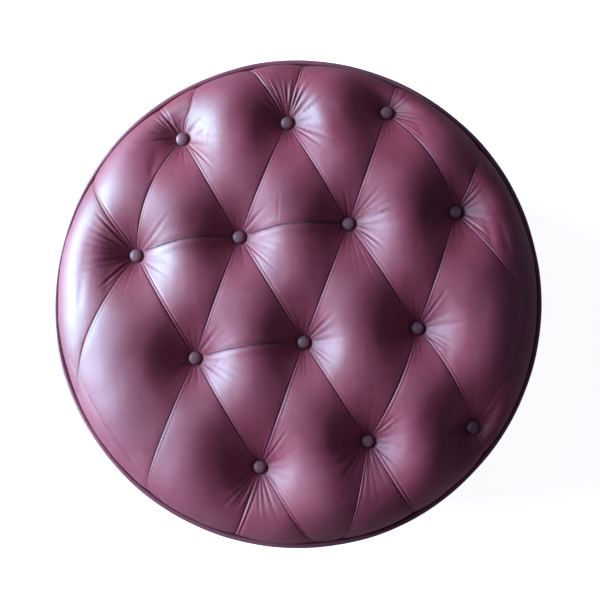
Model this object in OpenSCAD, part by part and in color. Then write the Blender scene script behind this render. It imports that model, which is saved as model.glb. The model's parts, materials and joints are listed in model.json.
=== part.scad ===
// Round pouf with a deep-buttoned leather top, piped edges and turned feet.
// Origin on the floor, under the middle. +Z is up, -Y is the front, +X the right-hand side.

/* [Overall] */
// Diameter over the piping round the top
pouf_d = 600; // [560:1:640]
// Height from the floor to the top of the crown
pouf_h = 420; // [390:1:480]
// Gap left between pieces that lie against each other
clear = 0.3; // [0.2:0.05:0.35]

/* [Crown] */
// Rise of the rolled edge above the piping
roll_h = 56; // [48:1:64]
// Further rise of the shallow dome inside the rolled edge
dome_h = 18; // [8:1:28]
// Fullness of the rolled edge, 2 for an ellipse, more for a squarer shoulder
roll_power = 5; // [4:0.5:7]
// Width of the rolled edge outside the buttoned field
roll_w = 18.5; // [16:0.5:24]
// Upright edge of the foam pad below the piping
skirt_h = 28; // [22:1:34]

/* [Buttoning] */
// Width of a diamond, from button to button along a row
diamond_w = 130; // [115:1:145]
// Height of a diamond, from a button to the one two rows away
diamond_h = 265; // [235:1:295]
// Turn of the rows of buttons, in degrees
row_turn = 8.4; // [0:0.1:12]
// Turn of the columns of buttons, in degrees
column_turn = 4.6; // [0:0.1:12]
// Middle button's place to the right of the centre
middle_x = 7.3; // [-20:0.1:20]
// Middle button's place behind the centre
middle_y = -49.4; // [-60:0.1:60]
// Least distance from a button to the edge of the buttoned field
button_margin = 12; // [11:0.5:20]
// Depth of the middle buttons below the crown
tuft_depth = 38; // [28:1:44]
// Share of that depth lost towards the rim
tuft_fade = 0.5; // [0.3:0.05:0.7]
// Height of a seam above its buttons, as a share of the tuft's depth
seam_lift = 0.5; // [0.35:0.05:0.65]
// Distance from a button over which a seam climbs
seam_run = 66; // [50:1:80]
// Sharpness of the fold at a seam, lower for a sharper fold
fold_power = 0.55; // [0.45:0.05:0.8]
// Outward bow of the seams near the rim
seam_bow = 12; // [0:1:16]
// Greatest distance of a hand-set button off its mark, 0 for a true lattice
button_drift = 8; // [0:1:10]

/* [Upholstery] */
// Thickness of the leather
leather_t = 1.2; // [0.9:0.1:1.6]
// Thickness of the polyester wadding under the top leather
wadding_t = 6; // [4:0.5:8]
// Thickness of the foam round the side
side_foam_t = 10; // [6:0.5:14]
// Outward bulge of the side at half height
side_bulge = 2.5; // [0:0.25:3]
// Width of the side leather turned under the base
hem_w = 35; // [25:1:40]
// Radius of the side leather where it turns under
hem_bend_r = 3; // [2:0.5:5]
// Thickness of the dust cover
dust_t = 0.6; // [0.4:0.1:1]
// Gap from the dust cover's edge to the piping, and from its step to the hem
dust_gap = 3; // [2:0.5:6]
// Width over which the dust cover steps down to the hem
dust_step_w = 3; // [2:0.5:6]

/* [Piping] */
// Outer diameter of the piping
welt_d = 6.2; // [5:0.1:7.5]
// Thickness of the skived leather round the piping cord
welt_leather_t = 1; // [0.7:0.1:1.2]
// Width of the piping's sewn flange
welt_flange_w = 12; // [8:1:16]
// How far the bottom piping stands out beyond the side
welt_stand = 1; // [0:0.25:2]

/* [Buttons] */
// Diameter of a covered button
button_d = 16.5; // [14:0.5:18]
// Height of a covered button
button_h = 6.5; // [5:0.5:8]
// Thickness of a button's covered shell
button_wall = 1.6; // [1.2:0.1:2]
// Height of a button's widest place, as a share of its height
button_shoulder = 0.4; // [0.3:0.05:0.6]
// Rounding at a button's back edge
button_edge = 0.8; // [0.4:0.1:1.2]
// Width of the flat seat left round a button
button_seat_w = 1.75; // [1:0.25:2.5]
// Thickness of the plate at a button's back
button_back_t = 2; // [1.5:0.1:2.4]
// Diameter of the wire of a button's loop
loop_wire_d = 1.2; // [0.9:0.1:1.4]
// Diameter of the tufting twine
twine_d = 2; // [1.6:0.1:2.4]
// Play of the twine in the seat board's holes
twine_play = 1; // [0.5:0.25:2]
// Diameter of the knot under a washer
knot_d = 5; // [4:0.5:6]
// Diameter of a washer under the seat board
washer_d = 16; // [14:0.5:20]
// Thickness of a washer
washer_t = 1.5; // [1:0.1:2]

/* [Frame] */
// Thickness of the seat board
seat_board_t = 18; // [15:1:22]
// Thickness of the base board
base_board_t = 18; // [15:1:22]
// Thickness of the hardboard wall round the drum
wall_t = 3; // [2:0.5:4]
// Number of upright battens
batten_count = 8; // [6:1:10]
// Width of a batten along the wall
batten_w = 40; // [30:1:50]
// Depth of a batten towards the middle
batten_depth = 30; // [24:1:34]
// Length of a batten screw
screw_l = 45; // [35:1:55]
// Shank diameter of a batten screw
screw_d = 4; // [3.5:0.1:5]
// Head diameter of a batten screw
screw_head_d = 8; // [7:0.5:10]

/* [Feet] */
// Height of a turned foot without its glide
foot_h = 46; // [36:1:70]
// Largest diameter of a foot
foot_d = 60; // [52:1:66]
// Diameter of a foot's neck
foot_neck_d = 38; // [34:1:42]
// Diameter of a foot's top plate
foot_top_d = 50; // [46:1:52]
// Thickness of a foot's top plate
foot_top_t = 8; // [6:1:10]
// Height of a foot's neck between its bun and its top plate
foot_neck_h = 3; // [2:0.5:5]
// Chamfer under a foot's top plate
foot_chamfer = 1.5; // [0.5:0.5:3]
// Diameter of a foot where it stands on its glide
foot_toe_d = 34; // [30:1:38]
// Height of the bun's fullest place, as a share of the bun's height
foot_fullest = 0.45; // [0.35:0.05:0.6]
// Diameter of the circle on which the feet stand
foot_circle_d = 440; // [400:1:450]
// Diameter of a foot's bolt
bolt_d = 8; // [6:1:10]
// Length of the bolt inside the foot
bolt_in_foot = 30; // [22:1:32]
// Length of the bolt above its nut
bolt_end = 4; // [2:1:8]
// Outer diameter of a nut's barrel
nut_d = 11.5; // [11:0.5:14]
// Diameter of a nut's flange
nut_flange_d = 22; // [18:1:26]
// Thickness of a nut's flange
nut_flange_t = 1.6; // [1.2:0.1:2.4]
// Length of a nut's barrel below its flange
nut_barrel_l = 13; // [9:1:14]
// Diameter of a glide
glide_d = 22; // [18:1:26]
// Thickness of a glide
glide_t = 4; // [3:0.5:6]
// Chamfer of a glide's lower edge
glide_chamfer = 1; // [0.5:0.25:1.5]
// Diameter of a glide's nail
nail_d = 2.4; // [2:0.1:3]
// Length of a glide's nail
nail_l = 10; // [6:1:12]

/* [Hidden] */
$fn = 96;
burgundy = [0.33, 0.10, 0.17];
burgundy_dark = [0.26, 0.07, 0.13];

// Share of button_drift by which each button is off its mark, row by row from the back,
// right and back positive
drift_shares = [
    [0.25, 0.25], [0.125, 0.25], [-0.75, -0.375],
    [0.125, 0.125], [-0.375, 0.5], [0, 0.125], [0.25, -0.375],
    [-0.25, 0], [0, 0], [1, -0.25],
    [0.125, -1], [0.25, 0.5], [0.125, 0.125],
];

// Powers that shape the tufting: a seam's climb, the seams' bow and the tufts' fade near the rim
seam_power = 0.8;
bow_power = 4;
fade_power = 4;

// Faces round a ring, a tube and a wire, and how far a cut runs past a face
ring_fn = 180;
tube_fn = 48;
wire_fn = 24;
cut_over = 1;

// Heights, from the floor up
base_z = glide_t + foot_h + dust_t;
base_top_z = base_z + base_board_t;
welt_z = pouf_h - roll_h - dome_h;
seat_top_z = welt_z - skirt_h;
seat_z = seat_top_z - seat_board_t;

// Radii, from the piping inwards
welt_r = pouf_d / 2 - welt_d / 2;
edge_r = welt_r - welt_d / 2 - clear;
field_r = edge_r - roll_w;
side_r = welt_r - welt_d / 4;
flange_r = side_r - leather_t - clear;
flange_t = 2 * welt_leather_t;
pad_r = flange_r - flange_t - clear;
wall_r = side_r - leather_t - clear - side_foam_t - clear;
board_r = wall_r - wall_t - clear;

// Layers under the face of the top leather
wadding_depth = leather_t + clear;
foam_depth = wadding_depth + wadding_t + clear;

// Button hardware: a wire loop with an eye of twine through it
loop_r = twine_d / 2 + clear + loop_wire_d / 2;
loop_drop = twine_d / 2 + clear;
eye_reach = loop_r + twine_d / 2;
corner_allowance = 1.28;
twine_hole_r = (eye_reach + clear) * corner_allowance;
seat_r = button_d / 2 + button_seat_w;
knot_pocket_h = washer_t + knot_d + 2 * clear;

// Lattice of seams: row and column steps, and the two ways along a seam
row_step = diamond_w * [cos(row_turn), sin(row_turn)];
column_step = diamond_h * [sin(column_turn), -cos(column_turn)];
seam_right = (column_step + row_step) / 2;
seam_left = (column_step - row_step) / 2;
lattice_n = ceil(field_r / min(diamond_w, diamond_h / 2)) + 1;
button_reach = field_r - button_margin;
button_cells = [
    for (row = [-lattice_n:lattice_n], col = [-lattice_n:lattice_n])
        if (norm(lattice(row + col, -col)) < button_reach) [row + col, -col]
];
button_count = len(button_cells);
buttons = [for (c = button_cells) sheet_xy(c.x, c.y)];

function lattice(s, t) = [middle_x, middle_y] + s * seam_right + t * seam_left;
function smooth(x) = let (u = max(0, min(1, x))) u * u * (3 - 2 * u);
function tidy(p) = [for (c = p) round(c * 10000) / 10000];

// Drift of the lattice mark at a whole cell, nothing where it has no button
function cell_drift(s, t) =
    let (found = [for (k = [0:button_count - 1])
        if (button_cells[k] == [s, t] && k < len(drift_shares)) button_drift * drift_shares[k]])
    len(found) > 0 ? found[0] : [0, 0];

// Plan of the lattice with its marks drifted
function sheet_xy(s, t) =
    let (i = floor(s), j = floor(t), f = s - i, g = t - j)
    lattice(s, t)
        + (1 - f) * (1 - g) * cell_drift(i, j) + f * (1 - g) * cell_drift(i + 1, j)
        + (1 - f) * g * cell_drift(i, j + 1) + f * g * cell_drift(i + 1, j + 1);

function nearest_button(p) = min([for (b = buttons) norm(p - b)]);

// Seams near the rim bow outwards between their buttons
function bowed(p) =
    let (r = norm(p), k = pow(min(r / field_r, 1), bow_power), w = smooth(nearest_button(p) / seam_run))
    r > 0 ? p * (1 + seam_bow * 4 * k * (1 - k) * w / r) : p;

// Crown without its tufts, and its fall per length
function crown_z(r) =
    let (x = min(r / edge_r, 1))
    welt_z + roll_h * sqrt(1 - pow(x, roll_power)) + dome_h * (1 - x * x);
function crown_fall(r) =
    let (x = r / edge_r)
    roll_h / edge_r * roll_power * pow(x, roll_power - 1) / (2 * sqrt(1 - pow(x, roll_power)))
        + 2 * dome_h * x / edge_r;

function tuft_depth_at(r) = tuft_depth * (1 - tuft_fade * pow(r / edge_r, fade_power));
function seam_rise(p) = pow(min(nearest_button(p) / seam_run, 1), seam_power);
function pillow(s, t) = pow(abs(sin(180 * s) * sin(180 * t)), fold_power);
function tuft_z(p, s, t) =
    let (r = norm(p), fill = seam_lift * seam_rise(p) + (1 - seam_lift) * pillow(s, t))
    crown_z(r) - tuft_depth_at(r) * (1 - fill);
function button_z(k) =
    let (r = norm(buttons[k]))
    crown_z(r) - tuft_depth_at(r);

// Vertices of the sheet: [x, y, height of the face, steepness, place, button]
// A place is inside the buttoned field, on its edge or outside it, and snaps to the edge when near it
cell_steps = [0, 0.18, 0.5, 0.82];
step_n = len(cell_steps);
snap = 3;
INSIDE = -1;
EDGE = 0;
OUTSIDE = 1;
function grid_value(k) = floor(k / step_n) + cell_steps[k - step_n * floor(k / step_n)];
function steepness(r) = sqrt(1 + pow(crown_fall(r), 2));
function vertex(k, l) =
    let (
        s = grid_value(k), t = grid_value(l),
        p = bowed(sheet_xy(s, t)), r = norm(p),
        place = r < field_r - snap ? INSIDE : r <= field_r + snap ? EDGE : OUTSIDE,
        q = place == EDGE ? p * field_r / r : p,
        rim = min(norm(q), field_r)
    )
    [q.x, q.y, tuft_z(q * (norm(q) > 0 ? rim / norm(q) : 1), s, t), steepness(rim), place, is_button(s, t)];
function is_button(s, t) = len([for (c = button_cells) if (c == [s, t]) 1]) > 0;
grid_n = lattice_n * step_n;
grid = [for (k = [-grid_n:grid_n]) [for (l = [-grid_n:grid_n]) vertex(k, l)]];

// Point where a line from an inside vertex to an outside one meets the field's edge
function crossing(a, b) =
    let (
        p = [a.x, a.y], d = [b.x - a.x, b.y - a.y],
        qa = d * d, qb = 2 * (p * d), qc = p * p - field_r * field_r,
        f = (-qb + sqrt(qb * qb - 4 * qa * qc)) / (2 * qa)
    )
    [p.x + f * d.x, p.y + f * d.y, a[2] + f * (b[2] - a[2]), steepness(field_r), EDGE, false];

// Part of a cell inside the field
function clipped(cell) = [
    for (i = [0:len(cell) - 1])
        let (a = cell[i], b = cell[(i + 1) % len(cell)])
        each [
            if (a[4] != OUTSIDE) a,
            if (a[4] == INSIDE && b[4] == OUTSIDE) crossing(a, b),
            if (a[4] == OUTSIDE && b[4] == INSIDE) crossing(b, a),
        ]
];
function fan_corner(poly) =
    let (z = [for (v = poly) v[5] ? 0 : v[2]], low = min(z))
    [for (i = [0:len(poly) - 1]) if (z[i] == low) i][0];
cells = [
    for (k = [0:2 * grid_n - 1], l = [0:2 * grid_n - 1])
        let (poly = clipped([grid[k][l], grid[k][l + 1], grid[k + 1][l + 1], grid[k + 1][l]]))
        if (len([for (v = poly) if (v[4] == INSIDE) v]) > 0) poly
];

// Triangles fanned from a cell's button, or its lowest corner, counter-clockwise from above
fans = [
    for (poly = cells)
        let (n = len(poly), i0 = fan_corner(poly))
        for (i = [1:n - 2]) [poly[i0], poly[(i0 + i) % n], poly[(i0 + i + 1) % n]]
];
function toward(a, b, distance) =
    let (f = distance / norm([b.x - a.x, b.y - a.y]))
    [a.x + f * (b.x - a.x), a.y + f * (b.y - a.y), a[2], a[3], INSIDE, false];

// A triangle at a button is cut back to the hole for the twine and a flat seat for the button
field_faces = [
    for (f = fans)
        let (a = f[0], b = f[1], c = f[2])
        each (!a[5] ? [f] : let (
            hole_b = toward(a, b, twine_hole_r), hole_c = toward(a, c, twine_hole_r),
            seat_b = toward(a, b, seat_r), seat_c = toward(a, c, seat_r)
        ) [
            [hole_b, seat_b, seat_c], [hole_b, seat_c, hole_c],
            [seat_b, b, c], [seat_b, c, seat_c],
        ])
];
hole_edges = [
    for (f = fans)
        if (f[0][5]) [toward(f[0], f[1], twine_hole_r), toward(f[0], f[2], twine_hole_r)]
];

// The field's edge, once round by angle
function sorted(list) =
    len(list) < 2 ? list : let (
        pivot = list[floor(len(list) / 2)][0],
        below = [for (e = list) if (e[0] < pivot) e],
        same = [for (e = list) if (e[0] == pivot) e],
        above = [for (e = list) if (e[0] > pivot) e]
    ) concat(sorted(below), [same[0]], sorted(above));
same_angle = 0.001;
edge_all = sorted([for (poly = cells, v = poly) if (v[4] == EDGE) [round(atan2(v.y, v.x) / same_angle), v]]);
field_edge = [for (e = edge_all) e[1]];
edge_n = len(field_edge);

// Rings over the rolled edge: share of its width, and share of the tuft's depth kept
roll_rings = [[0.7, 0.3], [1, 0]];

function on_sheet(v, depth) = [v.x, v.y, v[2] - depth * v[3]];
function on_roll(v, ring, depth) =
    let (
        r = field_r + ring[0] * roll_w,
        fall = ring[0] < 1 ? atan(crown_fall(r)) : 90,
        z = crown_z(r) - (crown_z(field_r) - v[2]) * ring[1],
        out = [v.x, v.y] / norm([v.x, v.y]) * (r - depth * sin(fall))
    )
    [out.x, out.y, z - depth * cos(fall)];
function at_radius(v, r, z) = concat([v.x, v.y] / norm([v.x, v.y]) * r, [z]);

// Ways round the edge, from the upper face to the lower one
function roll_path(v, depth) = concat([on_sheet(v, depth)], [for (ring = roll_rings) on_roll(v, ring, depth)]);
function backwards(list) = [for (i = [len(list) - 1:-1:0]) list[i]];
function sheet_path(v, upper, lower) = concat(roll_path(v, upper), backwards(roll_path(v, lower)));
function pad_path(v, upper) = concat(roll_path(v, upper), [
    at_radius(v, pad_r, welt_z - clear), at_radius(v, pad_r, seat_top_z), at_radius(v, field_r, seat_top_z),
]);

// Closed solid between an upper and a lower face of the sheet, with a wall round each hole.
// Both faces are split along the same diagonals, so that layers nest.
module tufted(upper_faces, lower_faces, hole_walls, paths) {
    rim = [
        for (i = [0:edge_n - 1], j = [0:len(paths[0]) - 2])
            let (a = paths[i], b = paths[(i + 1) % edge_n])
            each (j < len(roll_rings)
                ? [[a[j], a[j + 1], b[j + 1]], [a[j], b[j + 1], b[j]]]
                : [[a[j], a[j + 1], b[j]], [a[j + 1], b[j + 1], b[j]]])
    ];
    faces = concat(upper_faces, lower_faces, hole_walls, rim);
    polyhedron(
        points = [for (f = faces, p = f) tidy(p)],
        faces = [for (i = [0:len(faces) - 1]) [3 * i + 2, 3 * i + 1, 3 * i]]
    );
}

function lower(v, depth) = depth == undef ? [v.x, v.y, seat_top_z] : on_sheet(v, depth);
function upper_side(depth) = [for (f = field_faces) [for (v = f) on_sheet(v, depth)]];
function lower_side(depth) = [for (f = field_faces) [for (i = [2:-1:0]) lower(f[i], depth)]];
function hole_sides(upper, under) = [
    for (e = hole_edges)
        let (a = on_sheet(e[0], upper), b = on_sheet(e[1], upper), c = lower(e[1], under), d = lower(e[0], under))
        each [[a, b, c], [a, c, d]]
];

// A layer of the top that follows the tufting, from one depth to another
module layer(upper, under) {
    tufted(upper_side(upper), lower_side(under), hole_sides(upper, under),
        [for (v = field_edge) sheet_path(v, upper, under)]);
}

// Leather top, sewn to the piping at its edge
module top_cover() {
    color(burgundy) layer(0, leather_t);
}

// Wadding that rounds the foam under the leather
module top_wadding() {
    color("white") layer(wadding_depth, wadding_depth + wadding_t);
}

// Foam pad on the seat board, pulled in at each button
module foam_pad() {
    color("khaki")
        tufted(upper_side(foam_depth), lower_side(undef), hole_sides(foam_depth, undef),
            [for (v = field_edge) pad_path(v, foam_depth)]);
}

// Place of each button on the leather
module at_buttons() {
    for (b = buttons) translate([b.x, b.y, 0]) children();
}
module at_button(k) {
    translate([buttons[k].x, buttons[k].y, button_z(k) + clear]) children();
}

// Covered shell of a button, open below for its back
module button_shell() {
    shoulder = button_h * button_shoulder;
    steps = 10;
    function dome(r, low, high) = [for (i = [0:steps]) [r * cos(90 * i / steps), low + (high - low) * sin(90 * i / steps)]];
    back_r = button_d / 2 - button_wall;
    difference() {
        rotate_extrude()
            polygon(concat([[0, 0], [button_d / 2 - button_edge, 0]], dome(button_d / 2, shoulder, button_h)));
        rotate_extrude()
            polygon(concat([[0, -cut_over], [back_r, -cut_over]], dome(back_r, shoulder, button_h - button_wall)));
    }
}
module button(k) {
    color(burgundy_dark) at_button(k) button_shell();
}

// Plate and wire loop at the back of each button
module button_backs() {
    color("silver")
        for (k = [0:button_count - 1]) at_button(k) {
            cylinder(h = button_back_t, r = button_d / 2 - button_wall - clear);
            translate([0, 0, -loop_drop]) rotate([90, 0, 0])
                rotate_extrude() translate([loop_r, 0]) circle(d = loop_wire_d, $fn = wire_fn);
        }
}

// Twine from each button's loop to its knot under the seat board
module tufting_twine() {
    knot_z = seat_z + knot_pocket_h - clear - washer_t - knot_d / 2;
    color("ivory")
        for (k = [0:button_count - 1]) {
            eye_z = button_z(k) + clear - loop_drop - loop_r;
            translate([buttons[k].x, buttons[k].y, 0]) {
                translate([0, 0, eye_z]) rotate([0, 90, 0])
                    rotate_extrude() translate([loop_r, 0]) circle(d = twine_d, $fn = wire_fn);
                translate([0, 0, knot_z]) cylinder(h = eye_z - loop_r - knot_z, d = twine_d);
                translate([0, 0, knot_z]) sphere(d = knot_d, $fn = tube_fn);
            }
        }
}

// Washer between each knot and the seat board
module twine_washers() {
    color("silver")
        at_buttons() translate([0, 0, seat_z + knot_pocket_h - washer_t]) difference() {
            cylinder(h = washer_t, d = washer_d);
            translate([0, 0, -cut_over]) cylinder(h = washer_t + 2 * cut_over, d = twine_d + 2 * clear);
        }
}

// Piping: leather round a cord, with the sewn edges as a flange, one profile for top and base
module piping_tube() {
    difference() {
        circle(d = welt_d, $fn = tube_fn);
        circle(d = welt_d - 2 * welt_leather_t, $fn = tube_fn);
    }
}
module piping_cord(r, z) {
    rotate_extrude($fn = ring_fn) translate([r, z]) circle(d = welt_d - 2 * welt_leather_t - 2 * clear, $fn = tube_fn);
}
module top_welt() {
    color(burgundy_dark) rotate_extrude($fn = ring_fn) {
        translate([welt_r, welt_z]) piping_tube();
        difference() {
            translate([flange_r - flange_t, welt_z - clear - welt_flange_w]) square([flange_t, welt_flange_w]);
            translate([welt_r, welt_z]) circle(d = welt_d - welt_leather_t, $fn = tube_fn);
        }
    }
}
module top_welt_cord() {
    color("ivory") piping_cord(welt_r, welt_z);
}

// Side of the pouf: radius of the leather's face, set in by a depth
side_top_z = welt_z - welt_d / 2 - clear;
function side_at(z, depth) =
    let (x = 2 * (z - base_z) / (side_top_z - base_z) - 1)
    side_r - depth + side_bulge * (1 - x * x);
side_steps = 12;
function side_curve(z0, z1, depth) = [
    for (i = [0:side_steps]) let (z = z0 + (z1 - z0) * i / side_steps) [side_at(z, depth), z]
];

// One panel of the side leather, turned under the base
hem_z = base_z - leather_t;
bend_steps = 4;
function hem_bend(depth) = [
    for (i = [0:bend_steps]) let (a = 90 * i / bend_steps, r = hem_bend_r - depth)
        [side_r - hem_bend_r + r * sin(a), hem_z + hem_bend_r - r * cos(a)]
];
panel_names = ["border_panel_right", "border_panel_back", "border_panel_left", "border_panel_front"];
panel_sweep = 360 / len(panel_names);
side_start_z = hem_z + hem_bend_r + leather_t;
module border_panel(i) {
    panel_gap = clear / side_r * 180 / PI;
    color(burgundy) rotate([0, 0, panel_sweep * (i - 0.5) + panel_gap / 2])
        rotate_extrude(angle = panel_sweep - panel_gap, $fn = ring_fn)
            polygon(concat(
                [[side_r - hem_w, hem_z]], hem_bend(0), side_curve(side_start_z, side_top_z, 0),
                backwards(side_curve(side_start_z, side_top_z, leather_t)), backwards(hem_bend(leather_t)),
                [[side_r - hem_w, hem_z + leather_t]]
            ));
}

// Foam between the drum and the side leather
module border_foam() {
    depth = leather_t + clear;
    color("khaki") rotate_extrude($fn = ring_fn)
        polygon(concat(
            [[wall_r, base_z + clear], [side_r - hem_bend_r, base_z + clear]],
            side_curve(side_start_z, seat_top_z - clear, depth), [[wall_r, seat_top_z - clear]]
        ));
}

// Hardboard wall bent round the boards and battens
module drum_wall() {
    color("peru") translate([0, 0, base_z]) difference() {
        cylinder(h = seat_top_z - base_z - clear, r = wall_r - clear, $fn = ring_fn);
        translate([0, 0, -cut_over])
            cylinder(h = seat_top_z - base_z + 2 * cut_over, r = wall_r - clear - wall_t, $fn = ring_fn);
    }
}

// Battens stand between the boards, against the wall, the first half a step past a foot
batten_out = sqrt(pow(board_r - 2 * clear, 2) - pow(batten_w / 2, 2));
batten_mid = batten_out - batten_depth / 2;
module at_batten(i) {
    rotate([0, 0, feet[0] + 360 * (i + 0.5) / batten_count]) translate([batten_mid, 0, 0]) children();
}

// Countersunk screw, head up at the origin, grown by a gap for its hole
module screw(gap) {
    head_h = screw_head_d / 2;
    translate([0, 0, -screw_l - gap]) cylinder(h = screw_l + gap, d = screw_d + 2 * gap);
    translate([0, 0, -head_h]) cylinder(h = head_h, d1 = 2 * gap, d2 = screw_head_d + 2 * gap);
}
module batten_screw_pair(gap) {
    translate([0, 0, seat_top_z - clear + gap]) screw(gap);
    translate([0, 0, base_z + clear - gap]) mirror([0, 0, 1]) screw(gap);
}
module batten(i) {
    color("burlywood") at_batten(i) difference() {
        translate([-batten_depth / 2, -batten_w / 2, base_top_z])
            cube([batten_depth, batten_w, seat_z - base_top_z]);
        batten_screw_pair(clear);
    }
}
module batten_screws() {
    color("silver") for (i = [0:batten_count - 1]) at_batten(i) batten_screw_pair(0);
}

// Plywood seat board, drilled for the twine, with pockets for the washers and knots
module seat_board() {
    color("burlywood") difference() {
        translate([0, 0, seat_z]) cylinder(h = seat_board_t, r = board_r - clear, $fn = ring_fn);
        at_buttons() {
            translate([0, 0, seat_z - cut_over]) cylinder(h = seat_board_t + 2 * cut_over, d = twine_d + 2 * (clear + twine_play));
            translate([0, 0, seat_z - cut_over]) cylinder(h = knot_pocket_h + cut_over, d = washer_d + 2 * clear);
        }
        for (i = [0:batten_count - 1]) at_batten(i) batten_screw_pair(clear);
    }
}

// Plywood base board, drilled for the nuts and screws
foot_names = ["foot_back_right", "foot_back_left", "foot_front_left", "foot_front_right"];
feet = [for (i = [0:len(foot_names) - 1]) 360 / len(foot_names) * (i + 0.5)];
module at_foot(turn) {
    rotate([0, 0, turn]) translate([foot_circle_d / 2, 0, 0]) children();
}
module base_board() {
    color("burlywood") difference() {
        translate([0, 0, base_z]) cylinder(h = base_board_t, r = board_r - clear, $fn = ring_fn);
        for (turn = feet) at_foot(turn)
            translate([0, 0, base_z - cut_over]) cylinder(h = base_board_t + 2 * cut_over, d = nut_d + 2 * clear);
        for (i = [0:batten_count - 1]) at_batten(i) batten_screw_pair(clear);
    }
}

// Piping stapled under the base along the edge, with its flange inwards
base_welt_r = side_r - welt_d / 2 + welt_stand;
base_welt_z = hem_z - clear - welt_d / 2;
base_flange_z = hem_z - clear - flange_t;
module bottom_welt() {
    color(burgundy_dark) rotate_extrude($fn = ring_fn) {
        translate([base_welt_r, base_welt_z]) piping_tube();
        difference() {
            translate([base_welt_r - welt_d / 2 - welt_flange_w, base_flange_z])
                square([welt_flange_w + welt_d / 2, flange_t]);
            translate([base_welt_r, base_welt_z]) circle(d = welt_d - welt_leather_t, $fn = tube_fn);
        }
    }
}
module bottom_welt_cord() {
    color("ivory") piping_cord(base_welt_r, base_welt_z);
}

// Dust cover: flat under the board, stepped down over the hem and the flange
module dust_cover() {
    inner_r = side_r - hem_w - dust_gap - dust_step_w;
    outer_r = base_welt_r - welt_d / 2 - dust_gap;
    low_z = base_flange_z - clear - dust_t;
    color([0.12, 0.12, 0.12]) difference() {
        rotate_extrude($fn = ring_fn) polygon([
            [0, base_z - dust_t], [inner_r, base_z - dust_t], [inner_r + dust_step_w, low_z],
            [outer_r, low_z], [outer_r, low_z + dust_t], [inner_r + dust_step_w + dust_t, low_z + dust_t],
            [inner_r + dust_t, base_z], [0, base_z],
        ]);
        for (turn = feet) at_foot(turn)
            translate([0, 0, base_z - dust_t - cut_over])
                cylinder(h = dust_t + 2 * cut_over, d = bolt_d + 2 * clear);
    }
}

// Turned bun foot
foot_steps = 16;
module foot(turn) {
    bun_h = foot_h - foot_top_t - foot_neck_h;
    plate_z = bun_h + foot_neck_h;
    function bun_r(x) = x < foot_fullest
        ? foot_toe_d / 2 + (foot_d - foot_toe_d) / 2 * sin(90 * x / foot_fullest)
        : foot_neck_d / 2 + (foot_d - foot_neck_d) / 2 * cos(90 * (x - foot_fullest) / (1 - foot_fullest));
    color([0.25, 0.10, 0.06]) at_foot(turn) translate([0, 0, glide_t]) difference() {
        rotate_extrude() polygon(concat(
            [[0, 0]],
            [for (i = [0:foot_steps]) [bun_r(i / foot_steps), bun_h * i / foot_steps]],
            [
                [foot_neck_d / 2, plate_z], [foot_top_d / 2 - foot_chamfer, plate_z],
                [foot_top_d / 2, plate_z + foot_chamfer], [foot_top_d / 2, foot_h], [0, foot_h],
            ]
        ));
        translate([0, 0, foot_h - bolt_in_foot - clear]) cylinder(h = bolt_in_foot + clear + cut_over, d = bolt_d + 2 * clear);
        translate([0, 0, -cut_over]) cylinder(h = nail_l + clear + cut_over, d = nail_d + 2 * clear);
    }
}

// Hanger bolts from the feet through the base board into their nuts
module foot_bolts() {
    z0 = glide_t + foot_h - bolt_in_foot;
    color("silver") for (turn = feet) at_foot(turn)
        translate([0, 0, z0]) cylinder(h = base_top_z + nut_flange_t + bolt_end - z0, d = bolt_d);
}
module tee_nuts() {
    color("silver") for (turn = feet) at_foot(turn) difference() {
        union() {
            translate([0, 0, base_top_z - nut_barrel_l]) cylinder(h = nut_barrel_l + nut_flange_t, d = nut_d);
            translate([0, 0, base_top_z]) cylinder(h = nut_flange_t, d = nut_flange_d);
        }
        translate([0, 0, base_top_z - nut_barrel_l - cut_over])
            cylinder(h = nut_barrel_l + nut_flange_t + 2 * cut_over, d = bolt_d + 2 * clear);
    }
}

// Nylon glides nailed under the feet
module glides() {
    color([0.1, 0.1, 0.1]) for (turn = feet) at_foot(turn) {
        rotate_extrude() polygon([
            [0, 0], [glide_d / 2 - glide_chamfer, 0], [glide_d / 2, glide_chamfer], [glide_d / 2, glide_t],
            [0, glide_t],
        ]);
        translate([0, 0, glide_t / 2]) cylinder(h = glide_t / 2 + nail_l, d = nail_d);
    }
}

// Names of the repeated pieces
function two_digits(k) = str(k < 10 ? "0" : "", k);
function button_name(k) = str("button_", two_digits(k + 1));
function batten_name(i) = str("batten_", i + 1);

top_cover();
top_wadding();
foam_pad();
top_welt();
top_welt_cord();
for (k = [0:button_count - 1]) button(k);
button_backs();
tufting_twine();
twine_washers();
seat_board();
for (i = [0:batten_count - 1]) batten(i);
batten_screws();
drum_wall();
border_foam();
for (i = [0:len(panel_names) - 1]) border_panel(i);
base_board();
bottom_welt();
bottom_welt_cord();
dust_cover();
for (i = [0:len(foot_names) - 1]) foot(feet[i]);
foot_bolts();
tee_nuts();
glides();
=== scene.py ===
"""Round buttoned leather pouf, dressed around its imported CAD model."""

import json
import logging
import math
from dataclasses import dataclass, field
from enum import Enum
from typing import Callable, ClassVar, Iterable, Optional, Sequence

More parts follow.
